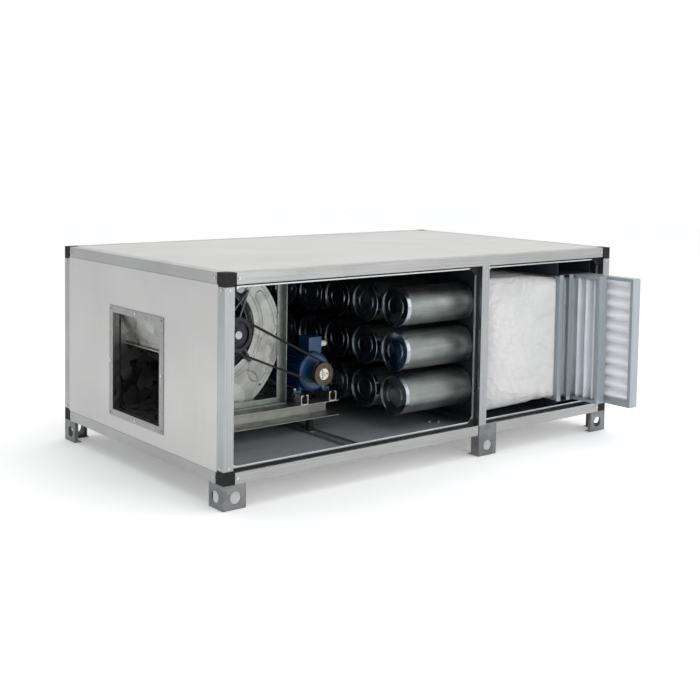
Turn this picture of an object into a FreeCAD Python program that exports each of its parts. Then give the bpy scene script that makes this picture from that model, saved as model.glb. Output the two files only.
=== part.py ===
import FreeCAD, Part
import math
import os
import re

import Sketcher
from FreeCAD import Placement, Rotation, Vector

# Belt-driven exhaust-air filter unit: an aluminium-profile cabinet with sandwich panels on six folded
# feet. A double-inlet centrifugal fan with a belt drive blows out of the left end; air comes in at the
# right end and passes two panel cells, a thin cell, a bag filter and a bank of carbon cylinders.
#
# Drawing coordinates are millimetres from the cabinet's left end (X), its front face (Y) and the floor
# (Z). The part's origin is under the middle of its bounding box, so every piece is moved by
# -casing_length / 2 in X and by -origin_depth in Y as it is placed.

DIMENSIONS = {
    # cabinet
    "casing_length": 2000,
    "casing_depth": 1180,
    "casing_top": 800,
    "foot_height": 85,
    "origin_depth": 479,
    "profile_size": 40,
    "profile_wall": 1.6,
    "profile_fin": 8,
    "fin_thick": 2,
    "fin_clear": 0.3,
    "block_leg": 48,
    "spigot_size": 36,
    "spigot_length": 25,
    "mullion_left": 1213,
    "panel_thick": 25,
    "panel_gap": 1,
    "skin_thick": 0.8,
    "floor_joint": 635,
    "channel_width": 52,
    "channel_rise": 10,
    "channel_sheet": 2,
    "gasket_thick": 4,
    "lip_width": 14,
    "lip_round": 22,
    # feet
    "foot_length": 93,
    "foot_width": 88,
    "foot_sheet": 3,
    "foot_lip": 16,
    "foot_sole": 30,
    "foot_hole_radius": 21.5,
    "foot_hole_inset": 50,
    "foot_hole_height": 40,
    "mid_foot_left": 1212,
    "mid_foot_length": 98,
    "mid_foot_top": 122,
    "mid_foot_sole": 55,
    # duct openings and their flanges
    "flange_thick": 3,
    "collar_thick": 1.5,
    "outlet_width": 347,
    "outlet_rise": 374,
    "outlet_bottom": 205,
    "outlet_rim_side": 28,
    "outlet_rim_top": 25.5,
    "inlet_width": 800,
    "inlet_rise": 400,
    "inlet_bottom": 230,
    "inlet_rim": 28,
    "flange_hole_inset": 12,
    "flange_hole_radius": 3.25,
    "screw_head_radius": 4.5,
    "screw_head_thick": 2.5,
    # fan
    "fan_x": 245,
    "fan_y": 590,
    "fan_z": 535,
    "fan_width": 370,
    "fan_sheet": 1.5,
    "scroll_start": 190,
    "scroll_end": 331,
    "scroll_rim": 8,
    "scroll_front": 32,
    "fan_inlet_radius": 160,
    "ring_outer": 177.5,
    "ring_rim": 12,
    "ring_depth": 26,
    "plate_clear": 1,
    "wheel_radius": 172,
    "wheel_inner": 148,
    "wheel_width": 306,
    "wheel_disc": 2,
    "blade_count": 40,
    "blade_thick": 1,
    "hub_radius": 32,
    "hub_width": 60,
    "shaft_radius": 15,
    "shaft_front": 274,
    "shaft_rear": 850,
    "bearing_radius": 30,
    "bearing_width": 24,
    "bearing_housing_radius": 42,
    "bearing_front": 342,
    "spider_arms": 4,
    "spider_first": 48,
    "spider_lean": 55,
    "arm_radius": 5,
    "arm_pad_rim": 5,
    "shaft_clearance": 0.05,
    # fan frame, base and mounts
    "frame_left": 27.3,
    "frame_right": 540,
    "frame_bottom": 230,
    "frame_top": 759.5,
    "frame_bar": 28,
    "frame_sheet": 3,
    "base_left": 45,
    "base_right": 748,
    "base_front": 310,
    "base_deep": 84,
    "base_bottom": 170,
    "base_sheet": 3,
    "base_lip": 12,
    "mount_radius": 14,
    "mount_plate": 3,
    "mount_plate_half": 18,
    "bolt_head_radius": 8,
    "bolt_head_thick": 6,
    "mount_left_inset": 30,
    "mount_right_inset": 113,
    # belt drive
    "belt_y": 292,
    "belt_top_width": 12.4,
    "belt_inner_width": 7.6,
    "belt_thick": 8,
    "belt_clearance": 0.4,
    "fan_pulley_radius": 64,
    "motor_pulley_radius": 45,
    "pulley_width": 24,
    "pulley_rim": 14,
    "pulley_web": 10,
    "pulley_hub": 10,
    "groove_relief": 1.5,
    # motor
    "motor_x": 648,
    "motor_z": 347,
    "motor_front": 334,
    "shield_thick": 18,
    "shield_radius": 74,
    "stator_length": 150,
    "housing_radius": 68,
    "housing_bore": 60,
    "motor_fin_radius": 78,
    "motor_fin_thick": 3,
    "motor_fins": 32,
    "motor_shaft_radius": 9.5,
    "rotor_radius": 43,
    "stator_bore": 44,
    "cowl_length": 62,
    "cowl_radius": 77,
    "cowl_sheet": 1.5,
    "feet_gauge": 138,
    "feet_pitch": 100,
    "feet_width": 36,
    "feet_thick": 10,
    "feet_web": 24,
    "feet_web_rise": 26,
    "feet_bolt_radius": 4,
    "feet_hole_radius": 5.2,
    "cross_rail_width": 34,
    "cross_rail_rise": 37,
    "cross_rail_sheet": 3,
    "cross_rail_slot": 14,
    "box_length": 62,
    "box_depth": 66,
    "box_rise": 62,
    "box_shift": 22,
    "box_inset": 14,
    "box_neck": 54,
    "box_wall": 3,
    "gland_radius": 12,
    "gland_length": 32,
    "bush_radius": 22,
    "bush_screw_radius": 3.4,
    "bush_screws": 3,
    "core_length": 90,
    "core_inset": 30,
    "shaft_beyond": 40,
    "cooling_inset": 12,
    "cooling_radius": 66,
    "cooling_length": 24,
    # carbon cylinders
    "cylinder_radius": 76,
    "cylinder_sheet": 1.2,
    "cylinder_left": 902,
    "cylinder_cap": 18,
    "cap_rim_radius": 78.5,
    "cap_dish": 7,
    "cap_ring_radius": 43,
    "cylinder_columns": 6,
    "cylinder_rows": 3,
    "first_column": 166,
    "column_pitch": 178,
    "first_row": 254,
    "row_pitch": 174,
    "carbon_inner_radius": 50,
    "plate_x": 1275,
    "plate_thick": 2.5,
    "plate_hole_radius": 62,
    "base_ring_length": 20,
    "bank_bolt_far": 141,
    "bank_bolt_near": 110,
    "bank_bolt_inner": 388,
    "bank_bolt_outer": 410,
    # filter stages
    "cell_bottom": 152,
    "cell_top": 690,
    "cell_width": 558,
    "cell_front": 32,
    "cell_gap": 4,
    "cell_lip": 13,
    "cell_sheet": 1.2,
    "bag_left": 1715,
    "bag_thick": 25,
    "thin_left": 1778,
    "thin_thick": 25,
    "inner_left": 1815,
    "outer_left": 1868,
    "deep_thick": 48,
    "inner_pulled": 130,
    "outer_pulled": 257,
    "pocket_count": 6,
    "pocket_end": 1292,
    "pocket_thick": 84,
    "pocket_end_thick": 46,
    "pocket_margin": 12,
    "pocket_clear": 6,
    "pocket_sag": 17,
    "pocket_rise": 24,
    "pocket_wall": 3,
    "guide_sheet": 2,
    "guide_rise": 14,
    "guide_bag_rise": 5,
    "guide_gap": 1.5,
}

doc = FreeCAD.newDocument("filter_unit")
sheet = doc.addObject("Spreadsheet::Sheet", "dims")
for row, (alias, number) in enumerate(DIMENSIONS.items(), 1):
    sheet.set(f"A{row}", alias)
    sheet.set(f"B{row}", str(number))
    sheet.setAlias(f"B{row}", alias)
doc.recompute()

WORD = re.compile(r"[a-z][a-z_]*")
sub_parts = []


def swapped(found):
    """A matched word, pointed at its cell in the sheet when it is a dimension's name."""
    word = found.group()
    return f"dims.{word}" if word in DIMENSIONS else word


def bound(text):
    """The expression with each dimension's name pointed at its cell in the sheet."""
    return WORD.sub(swapped, str(text))


def size(text):
    """The number that an expression gives with the sheet's present values."""
    return float(sheet.evalExpression(bound(text)))


def sub_part(label, obj):
    """Gives a finished piece the label that names its file, and keeps it for export."""
    obj.Label = label
    sub_parts.append(obj)
    return obj


def put(obj, x, y, z, turn=None):
    """Places an object at drawing coordinates; each coordinate stays bound to the sheet."""
    if turn is not None:
        obj.Placement = Placement(Vector(0, 0, 0), turn)
    obj.setExpression("Placement.Base.x", bound(f"({x}) - casing_length / 2"))
    obj.setExpression("Placement.Base.y", bound(f"({y}) - origin_depth"))
    obj.setExpression("Placement.Base.z", bound(z))
    return obj


def block(low, high):
    """A box between two corners, each given as three expressions."""
    box = doc.addObject("Part::Box", "block")
    for prop, a, b in zip(("Length", "Width", "Height"), low, high):
        box.setExpression(prop, bound(f"({b}) - ({a})"))
    return put(box, *low)


AXIS_TURN = {
    "X": Rotation(Vector(0, 1, 0), 90),
    "Y": Rotation(Vector(1, 0, 0), -90),
    "Z": Rotation(),
}


def rod(axis, radius, start, length):
    """A cylinder along one axis, from its lowest end."""
    cylinder = doc.addObject("Part::Cylinder", "rod")
    cylinder.setExpression("Radius", bound(radius))
    cylinder.setExpression("Height", bound(length))
    return put(cylinder, *start, turn=AXIS_TURN[axis])


def cut(base, tool):
    """The base with one tool, or a list of tools, taken out of it."""
    made = doc.addObject("Part::Cut", "cut")
    made.Base = base
    made.Tool = fuse(tool) if isinstance(tool, list) else tool
    return made


def fuse(pieces):
    """Several touching pieces as one solid."""
    if len(pieces) == 1:
        return pieces[0]
    made = doc.addObject("Part::MultiFuse", "fuse")
    made.Shapes = pieces
    made.Refine = True
    return made


def group(pieces):
    """Separate solids that share one sub-part."""
    made = doc.addObject("Part::Compound", "group")
    made.Links = pieces
    return made


def feature(shape, turn=None, at=("casing_length / 2", "origin_depth", "0")):
    """A piece whose shape no primitive or sketch gives; it is placed after its shape is set."""
    made = doc.addObject("Part::Feature", "piece")
    made.Shape = shape
    return put(made, *at, turn=turn)


def origin_plane(body, role):
    return next(found for found in body.Origin.OriginFeatures if found.Role == role)


def outline(sketch, corners):
    """A closed outline of straight edges whose corners are bound to the sheet, from the sketch's origin."""
    points = [Vector(size(u), size(v), 0) for u, v in corners]
    first = sketch.GeometryCount
    count = len(corners)
    for i in range(count):
        sketch.addGeometry(Part.LineSegment(points[i], points[(i + 1) % count]))
    for i in range(count):
        sketch.addConstraint(Sketcher.Constraint("Coincident", first + i, 2, first + (i + 1) % count, 1))
    for i, corner in enumerate(corners):
        for kind, axis, text in (("DistanceX", -2, corner[0]), ("DistanceY", -1, corner[1])):
            if text == "0":
                sketch.addConstraint(Sketcher.Constraint("PointOnObject", first + i, 1, axis))
                continue
            index = sketch.addConstraint(Sketcher.Constraint(kind, -1, 1, first + i, 1, size(text)))
            sketch.setExpression(f"Constraints[{index}]", bound(text))


def circle(sketch, u, v, radius):
    """A circle whose centre and radius are bound to the sheet."""
    index = sketch.addGeometry(Part.Circle(Vector(size(u), size(v), 0), Vector(0, 0, 1), size(radius)))
    for kind, axis, text in (("DistanceX", -2, u), ("DistanceY", -1, v)):
        if text == "0":
            sketch.addConstraint(Sketcher.Constraint("PointOnObject", index, 3, axis))
            continue
        number = sketch.addConstraint(Sketcher.Constraint(kind, -1, 1, index, 3, size(text)))
        sketch.setExpression(f"Constraints[{number}]", bound(text))
    number = sketch.addConstraint(Sketcher.Constraint("Radius", index, size(radius)))
    sketch.setExpression(f"Constraints[{number}]", bound(radius))


def new_sketch(body, role, outlines=(), circles=()):
    sketch = body.newObject("Sketcher::SketchObject", "sketch")
    sketch.AttachmentSupport = [(origin_plane(body, role), "")]
    sketch.MapMode = "FlatFace"
    for corners in outlines:
        outline(sketch, corners)
    for values in circles:
        circle(sketch, *values)
    return sketch


def padded(role, length, outlines=(), circles=(), reverse=False):
    """A body of one sketch pulled straight off one of its origin planes."""
    body = doc.addObject("PartDesign::Body", "body")
    sketch = new_sketch(body, role, outlines, circles)
    pad = body.newObject("PartDesign::Pad", "pad")
    pad.Profile = sketch
    pad.setExpression("Length", bound(length))
    pad.Reversed = reverse
    body.Tip = pad
    return body


def turned(corners, axis="Y"):
    """A turned body. Corners are (radius, distance along the axis), whichever axis it turns about."""
    body = doc.addObject("PartDesign::Body", "body")
    if axis == "X":
        corners = [(along, radius) for radius, along in corners]
    sketch = new_sketch(body, "XY_Plane", [corners])
    turn = body.newObject("PartDesign::Revolution", "turn")
    turn.Profile = sketch
    turn.ReferenceAxis = (sketch, ["V_Axis" if axis == "Y" else "H_Axis"])
    turn.Angle = 360
    body.Tip = turn
    return body


def patterned(body, feature_made, sketch, count, axis="N_Axis"):
    """Repeats a body's last feature all round an axis of its sketch."""
    pattern = body.newObject("PartDesign::PolarPattern", "pattern")
    pattern.Originals = [feature_made]
    pattern.Axis = (sketch, [axis])
    pattern.Angle = 360
    pattern.setExpression("Occurrences", bound(count))
    body.Tip = pattern
    return pattern


def square_ring(low, high):
    """Corners of a rectangle for an outline, from two opposite corners."""
    return [(low[0], low[1]), (high[0], low[1]), (high[0], high[1]), (low[0], high[1])]


# ---------------------------------------------------------------- cabinet frame

FAR = {"x": "casing_length", "y": "casing_depth"}
SIDES = (1, -1)


def edge(axis, side):
    """The cabinet's outer face on one side of an axis: side 1 is the low face, -1 the high one."""
    if axis == "z":
        return "foot_height" if side == 1 else "casing_top"
    return "0" if side == 1 else FAR[axis]


def inward(axis, side, depth):
    return f"{edge(axis, side)} + {side} * ({depth})"


def span(a, b, side):
    """Two expressions in rising order, when side 1 means that a is the lower."""
    return (a, b) if side == 1 else (b, a)


def section(u, v):
    """The profile: a square tube with two fins, each behind the edge of a panel let in flush."""
    corners = [("0", "0"), ("size", "0"), ("size", "in"), ("tip", "in"), ("tip", "back"), ("size", "back")]
    corners += [("size", "size"), ("back", "size"), ("back", "tip"), ("in", "tip"), ("in", "size")]
    corners.append(("0", "size"))
    words = {
        "size": "profile_size",
        "in": "panel_thick",
        "back": "panel_thick + fin_thick",
        "tip": "profile_size + profile_fin",
    }
    outer = []
    for pair in corners:
        outer.append(tuple("0" if word == "0" else f"{s} * ({words[word]})" for s, word in zip((u, v), pair)))
    wall = "profile_wall"
    inner_edge = "(profile_size - profile_wall)"
    hollow = [(f"{u} * {a}", f"{v} * {b}") for a, b in square_ring((wall, wall), (inner_edge, inner_edge))]
    return [outer, hollow]


def rails():
    """Four rails along the length, four across the ends and four corner posts, cut from one profile."""
    rails_made = []
    posts = []
    for a in SIDES:
        for b in SIDES:
            rail = padded("YZ_Plane", "casing_length - 2 * block_leg", section(a, b))
            rails_made.append(put(rail, "block_leg", edge("y", a), edge("z", b)))
            rail = padded("XZ_Plane", "casing_depth - 2 * block_leg", section(a, b), reverse=True)
            rails_made.append(put(rail, edge("x", a), "block_leg", edge("z", b)))
            post = padded("XY_Plane", "casing_top - foot_height - 2 * block_leg", section(a, b))
            posts.append(put(post, edge("x", a), edge("y", b), "foot_height + block_leg"))
    sub_part("frame_rails", group(rails_made))
    sub_part("corner_posts", group(posts))


def mullions():
    """The upright between the two bays, front and rear: a finned tube, slotted where the rails' fins pass."""
    bars = []
    half = "profile_size / 2"
    tip = "(profile_size / 2 + profile_fin)"
    inner = "(profile_size / 2 - profile_wall)"
    for side in SIDES:
        near = f"{side} * panel_thick"
        back = f"{side} * (panel_thick + fin_thick)"
        deep = f"{side} * profile_size"
        outer = [("0", half), (near, half), (near, tip), (back, tip), (back, half), (deep, half)]
        outer += [(depth, f"-{across}") for depth, across in reversed(outer)]
        outer = [(across, depth) for depth, across in outer]
        walls = (f"{side} * profile_wall", f"{side} * (profile_size - profile_wall)")
        hollow = square_ring((f"-{inner}", walls[0]), (inner, walls[1]))
        bar = padded("XY_Plane", "casing_top - foot_height - 2 * profile_size", [outer, hollow])
        bar = put(bar, "mullion_left + profile_size / 2", edge("y", side), "foot_height + profile_size")
        fin_front = inward("y", side, "panel_thick - fin_clear")
        fin_back = inward("y", side, "panel_thick + fin_thick + fin_clear")
        ys = span(fin_front, fin_back, side)
        for low, high in (
            ("foot_height + profile_size - 1", "foot_height + profile_size + profile_fin + fin_clear"),
            ("casing_top - profile_size - profile_fin - fin_clear", "casing_top - profile_size + 1"),
        ):
            x0 = "mullion_left - profile_fin - 1"
            x1 = "mullion_left + profile_size + profile_fin + 1"
            bar = cut(bar, block((x0, ys[0], low), (x1, ys[1], high)))
        bars.append(bar)
    sub_part("mullions", group(bars))


def corner_blocks():
    """Moulded three-way corners: three short legs flush with the profiles, and a spigot into each tube."""
    blocks = []
    for a in SIDES:
        for b in SIDES:
            for c in SIDES:
                signs = dict(zip("xyz", (a, b, c)))
                legs = []
                for along in "xyz":
                    for start, end, margin in (
                        ("0", "block_leg", "0"),
                        ("block_leg", "block_leg + spigot_length", "(profile_size - spigot_size) / 2"),
                    ):
                        low = []
                        high = []
                        for axis, side in signs.items():
                            near = start if axis == along else margin
                            far = end if axis == along else f"profile_size - {margin}"
                            pair = span(inward(axis, side, near), inward(axis, side, far), side)
                            low.append(pair[0])
                            high.append(pair[1])
                        legs.append(block(low, high))
                blocks.append(fuse(legs))
    sub_part("corner_blocks", group(blocks))


# ---------------------------------------------------------------- feet


def corner_foot(a, b):
    """A folded foot: two upright flanges, a top and a sole turned inward, and lips on the free edges."""

    def plate(x, y, z):
        xs = span(inward("x", a, x[0]), inward("x", a, x[1]), a)
        ys = span(inward("y", b, y[0]), inward("y", b, y[1]), b)
        return block((xs[0], ys[0], z[0]), (xs[1], ys[1], z[1]))

    full = ("0", "foot_height")
    top = ("foot_height - foot_sheet", "foot_height")
    sole = ("0", "foot_sheet")
    sheet_wide = ("0", "foot_sheet")
    plates = [
        plate(("0", "foot_length"), sheet_wide, full),
        plate(sheet_wide, ("0", "foot_width"), full),
        plate(("foot_length - foot_sheet", "foot_length"), ("0", "foot_lip"), full),
        plate(("0", "foot_lip"), ("foot_width - foot_sheet", "foot_width"), full),
        plate(("0", "foot_length"), ("0", "profile_size"), top),
        plate(("0", "profile_size"), ("0", "foot_width"), top),
        plate(("0", "foot_length"), ("0", "foot_sole"), sole),
        plate(("0", "foot_sole"), ("0", "foot_width"), sole),
    ]
    ends_y = span(inward("y", b, "-1"), inward("y", b, "foot_sheet + 1"), b)
    ends_x = span(inward("x", a, "-1"), inward("x", a, "foot_sheet + 1"), a)
    through = "foot_sheet + 2"
    inset_x = inward("x", a, "foot_hole_inset")
    inset_y = inward("y", b, "foot_hole_inset")
    holes = [
        rod("Y", "foot_hole_radius", (inset_x, ends_y[0], "foot_hole_height"), through),
        rod("X", "foot_hole_radius", (ends_x[0], inset_y, "foot_hole_height"), through),
    ]
    return cut(fuse(plates), holes)


def mid_foot(b):
    """A folded foot under a mullion, with its front plate lapped up over the bottom rail."""
    x0 = "mid_foot_left"
    x1 = "mid_foot_left + mid_foot_length"

    def plate(x, depths, z):
        ys = span(inward("y", b, depths[0]), inward("y", b, depths[1]), b)
        return block((x[0], ys[0], z[0]), (x[1], ys[1], z[1]))

    top = ("foot_height - foot_sheet", "foot_height")
    below = ("0", "foot_height")
    plates = [
        plate((x0, x1), ("-foot_sheet", "0"), ("0", "mid_foot_top")),
        plate((x0, x1), ("-foot_sheet", "profile_size"), top),
        plate((x0, x1), ("-foot_sheet", "mid_foot_sole"), ("0", "foot_sheet")),
        plate((x0, f"{x0} + foot_sheet"), ("-foot_sheet", "profile_size"), below),
        plate((f"{x1} - foot_sheet", x1), ("-foot_sheet", "foot_lip"), below),
    ]
    start = span(inward("y", b, "-foot_sheet - 1"), inward("y", b, "1"), b)[0]
    middle = f"{x0} + mid_foot_length / 2"
    hole = rod("Y", "foot_hole_radius", (middle, start, "foot_hole_height"), "foot_sheet + 2")
    return cut(fuse(plates), hole)


def feet():
    corners = [corner_foot(a, b) for a in SIDES for b in SIDES]
    sub_part("feet", group(corners + [mid_foot(b) for b in SIDES]))


# ---------------------------------------------------------------- panels

OUTLET = ("outlet_width", "outlet_bottom", "outlet_rise", "outlet_rim_side", "outlet_rim_top")
INLET = ("inlet_width", "inlet_bottom", "inlet_rise", "inlet_rim", "inlet_rim")

panel_liners = []
panel_cores = []


def panel(low, high, axis, side, holes=()):
    """A flush sandwich panel: an outer tray, an inner liner and the foam between them.

    axis and side say which way the tray faces: side -1 is towards higher values of the axis.
    holes are the tools of a duct opening and its flange's bolt holes, cut through all three.
    """
    which = "xyz".index(axis)
    low = [text if i == which else f"{text} + panel_gap" for i, text in enumerate(low)]
    high = [text if i == which else f"{text} - panel_gap" for i, text in enumerate(high)]
    core_low = [f"{text} + skin_thick" for text in low]
    core_high = [f"{text} - skin_thick" for text in high]
    cavity_low, cavity_high = list(core_low), list(core_high)
    liner_low, liner_high = list(core_low), list(core_high)
    if side == -1:
        cavity_low[which] = f"{low[which]} - 1"
        liner_low[which] = low[which]
        liner_high[which] = f"{low[which]} + skin_thick"
    else:
        cavity_high[which] = f"{high[which]} + 1"
        liner_low[which] = f"{high[which]} - skin_thick"
        liner_high[which] = high[which]
    tray = cut(block(low, high), block(cavity_low, cavity_high))
    liner = block(liner_low, liner_high)
    core = block(core_low, core_high)
    for tool in holes:
        tray, liner, core = (cut(piece, tool) for piece in (tray, liner, core))
    panel_liners.append(liner)
    panel_cores.append(core)
    return tray


def flange_bolt_holes(start, length, width, bottom, rise, rim_side, rim_top):
    """A rod through each corner of a duct flange."""
    aside = f"({width} / 2 + {rim_side} - flange_hole_inset)"
    low = f"{bottom} - {rim_top} + flange_hole_inset"
    high = f"{bottom} + {rise} + {rim_top} - flange_hole_inset"
    places = [(start, f"fan_y {way} {aside}", z) for way in "-+" for z in (low, high)]
    return [rod("X", "flange_hole_radius", place, length) for place in places]


def duct_holes(start, width, bottom, rise, rim_side, rim_top):
    """The tools that open an end panel: the duct with room for the collar, and the flange's bolts."""
    aside = f"({width} / 2 + collar_thick)"
    low = (f"{start} - 1", f"fan_y - {aside}", f"{bottom} - collar_thick")
    high = (f"{start} + panel_thick + 1", f"fan_y + {aside}", f"{bottom} + {rise} + collar_thick")
    rods = flange_bolt_holes(f"{start} - 1", "panel_thick + 2", width, bottom, rise, rim_side, rim_top)
    return [block(low, high)] + rods


def panels():
    near = "profile_size"
    far_x = "casing_length - profile_size"
    far_y = "casing_depth - profile_size"
    low_z = "foot_height + profile_size"
    high_z = "casing_top - profile_size"
    under = "foot_height"
    inner_floor = "foot_height + panel_thick"
    mullion_right = "mullion_left + profile_size"
    top = panel((near, near, "casing_top - panel_thick"), (far_x, far_y, "casing_top"), "z", -1)
    sub_part("top_panel", top)
    floors = [
        panel((near, near, under), ("floor_joint", far_y, inner_floor), "z", 1),
        panel(("floor_joint", near, under), (far_x, far_y, inner_floor), "z", 1),
    ]
    sub_part("floor_panels", group(floors))
    rear = "casing_depth - panel_thick"
    rears = [
        panel((near, rear, low_z), ("mullion_left", "casing_depth", high_z), "y", -1),
        panel((mullion_right, rear, low_z), (far_x, "casing_depth", high_z), "y", -1),
    ]
    sub_part("rear_panels", group(rears))
    left = panel(("0", near, low_z), ("panel_thick", far_y, high_z), "x", 1, duct_holes("0", *OUTLET))
    sub_part("outlet_end_panel", left)
    start = "casing_length - panel_thick"
    right = panel((start, near, low_z), ("casing_length", far_y, high_z), "x", -1, duct_holes(start, *INLET))
    sub_part("inlet_end_panel", right)
    sub_part("panel_liners", group(panel_liners))
    sub_part("panel_insulation", group(panel_cores))


def floor_channels():
    """Two shallow channels across the floor that carry the fan base; one lies over the floor's joint."""
    y0 = "profile_size + profile_fin + 2"
    y1 = "casing_depth - profile_size - profile_fin - 2"
    floor = "foot_height + panel_thick"
    made = []
    for middle in ("base_left + mount_left_inset", "floor_joint"):
        x0 = f"{middle} - channel_width / 2"
        x1 = f"{middle} + channel_width / 2"
        outside = block((x0, y0, floor), (x1, y1, f"{floor} + channel_rise"))
        hollow = block(
            (f"{x0} + channel_sheet", f"{y0} - 1", f"{floor} + channel_sheet"),
            (f"{x1} - channel_sheet", f"{y1} + 1", f"{floor} + channel_rise + 1"),
        )
        made.append(cut(outside, hollow))
    sub_part("floor_channels", group(made))


# ---------------------------------------------------------------- door frames

BAYS = (
    ("profile_size", "mullion_left"),
    ("mullion_left + profile_size", "casing_length - profile_size"),
)


def rounded_hole(x0, x1, z0, z1, y0, y1, radius):
    """A rectangular tool with round corners, standing across a wall that faces the front."""
    pieces = [
        block((f"{x0} + {radius}", y0, z0), (f"{x1} - {radius}", y1, z1)),
        block((x0, y0, f"{z0} + {radius}"), (x1, y1, f"{z1} - {radius}")),
    ]
    for x in (f"{x0} + {radius}", f"{x1} - {radius}"):
        for z in (f"{z0} + {radius}", f"{z1} - {radius}"):
            pieces.append(rod("Y", radius, (x, y0, z), f"{y1} - ({y0})"))
    return fuse(pieces)


def shrunk(x0, x1, z0, z1, inset):
    """An opening's four edges, each moved inward by the same amount."""
    return f"{x0} + {inset}", f"{x1} - {inset}", f"{z0} + {inset}", f"{z1} - {inset}"


def door_frames():
    """Round each bay, a black gasket on the profiles' fins and a thin bright lip ring behind them."""
    gaskets = []
    lips = []
    low = "foot_height + profile_size"
    high = "casing_top - profile_size"
    front = "panel_thick - gasket_thick"
    for x0, x1 in BAYS:
        outer = block((x0, front, low), (x1, "panel_thick", high))
        edges = shrunk(x0, x1, low, high, "profile_fin")
        hole = rounded_hole(*edges, f"{front} - 1", "panel_thick + 1", "lip_round - profile_fin")
        gaskets.append(cut(outer, hole))
        back = "panel_thick + fin_thick"
        outer = block((f"{x0} + 1", back, f"{low} + 1"), (f"{x1} - 1", f"{back} + fin_thick", f"{high} - 1"))
        edges = shrunk(x0, x1, low, high, "lip_width")
        hole = rounded_hole(*edges, f"{back} - 1", f"{back} + fin_thick + 1", "lip_round - 2")
        lips.append(cut(outer, hole))
    sub_part("door_gaskets", group(gaskets))
    sub_part("door_lips", group(lips))


# ---------------------------------------------------------------- duct flanges and screws


def duct_flange(side, width, bottom, rise, rim_side, rim_top):
    """A flat rim outside an end panel with a collar through it, and an open bolt hole at each corner."""
    y0 = f"fan_y - {width} / 2"
    y1 = f"fan_y + {width} / 2"
    z1 = f"{bottom} + {rise}"
    out = span(inward("x", side, "-flange_thick"), inward("x", side, "0"), side)
    through = span(inward("x", side, "-flange_thick"), inward("x", side, "panel_thick"), side)
    rim_low = (out[0], f"{y0} - {rim_side}", f"{bottom} - {rim_top}")
    rim_high = (out[1], f"{y1} + {rim_side}", f"{z1} + {rim_top}")
    sleeve_low = (through[0], f"{y0} - collar_thick", f"{bottom} - collar_thick")
    sleeve_high = (through[1], f"{y1} + collar_thick", f"{z1} + collar_thick")
    duct = block((f"{through[0]} - 1", y0, bottom), (f"{through[1]} + 1", y1, z1))
    made = cut(fuse([block(rim_low, rim_high), block(sleeve_low, sleeve_high)]), duct)
    measures = (width, bottom, rise, rim_side, rim_top)
    return cut(made, flange_bolt_holes(f"{out[0]} - 1", "flange_thick + 2", *measures))


def head(axis, side, x, y, z):
    """A pan screw head standing on a face: side 1 faces the low end of the axis."""
    at = {"x": x, "y": y, "z": z}
    if side == 1:
        at[axis] = f"{at[axis]} - screw_head_thick"
    return rod(axis.upper(), "screw_head_radius", (at["x"], at["y"], at["z"]), "screw_head_thick")


def floor_bolts():
    """Bolt heads on the floor that hold the carbon bank's foot."""
    floor = "foot_height + panel_thick"
    spots = (("bank_bolt_far", "bank_bolt_inner"), ("bank_bolt_near", "bank_bolt_outer"))
    places = [(f"plate_x - {back}", f"fan_y {way} {aside}", floor) for back, aside in spots for way in "-+"]
    return [rod("Z", "bolt_head_radius", place, "bolt_head_thick") for place in places]


def flanges_and_screws():
    sub_part("outlet_flange", duct_flange(1, *OUTLET))
    sub_part("inlet_flange", duct_flange(-1, *INLET))
    heads = []
    for side, (width, bottom, rise, rim_side, rim_top) in ((1, OUTLET), (-1, INLET)):
        face = inward("x", side, "-flange_thick")
        middle = f"{bottom} + {rise} / 2"
        for turn in SIDES:
            out = f"fan_y + {turn} * ({width} / 2 + {rim_side} - flange_hole_inset)"
            heads.append(head("x", side, face, out, middle))
            up = f"{middle} + {turn} * ({rise} / 2 + {rim_top} - flange_hole_inset)"
            heads.append(head("x", side, face, "fan_y", up))
    half = "profile_size / 2"
    beside = "block_leg + profile_size / 4"
    for b in SIDES:
        face = edge("y", b)
        for a in SIDES:
            for c in SIDES:
                heads.append(head("y", b, inward("x", a, half), face, inward("z", c, beside)))
                heads.append(head("y", b, inward("x", a, beside), face, inward("z", c, half)))
    for a in SIDES:
        face = edge("x", a)
        for b in SIDES:
            for c in SIDES:
                heads.append(head("x", a, face, inward("y", b, half), inward("z", c, beside)))
                heads.append(head("x", a, face, inward("y", b, beside), inward("z", c, half)))
    sub_part("case_screws", group(heads + floor_bolts()))


# ---------------------------------------------------------------- fan housing

TONGUE = 205
SCROLL_TURN = 295
FLAT_START = 165


def scroll_point(angle, extra=0.0):
    """A point of the scroll's inner line, as (x, z) from the shaft, at an angle in degrees from +X."""
    grown = max(0.0, (TONGUE - angle) / SCROLL_TURN)
    radius = size("scroll_start") + (size("scroll_end") - size("scroll_start")) * grown**1.5 + extra
    return radius * math.cos(math.radians(angle)), radius * math.sin(math.radians(angle))


def scroll_curve(start, extra):
    """A smooth curve along the scroll from one angle round to the bottom."""
    steps = 20
    angles = [start + (TONGUE - SCROLL_TURN - start) * i / steps for i in range(steps + 1)]
    points = [Vector(x, 0, z) for x, z in (scroll_point(angle, extra) for angle in angles)]
    curve = Part.BSplineCurve()
    curve.interpolate(points)
    return curve.toShape(), points[0], points[-1]


def fan_feature(shape):
    """Places a shape that was drawn from the middle of the fan's shaft."""
    return feature(shape, at=("fan_x", "fan_y", "fan_z"))


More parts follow.
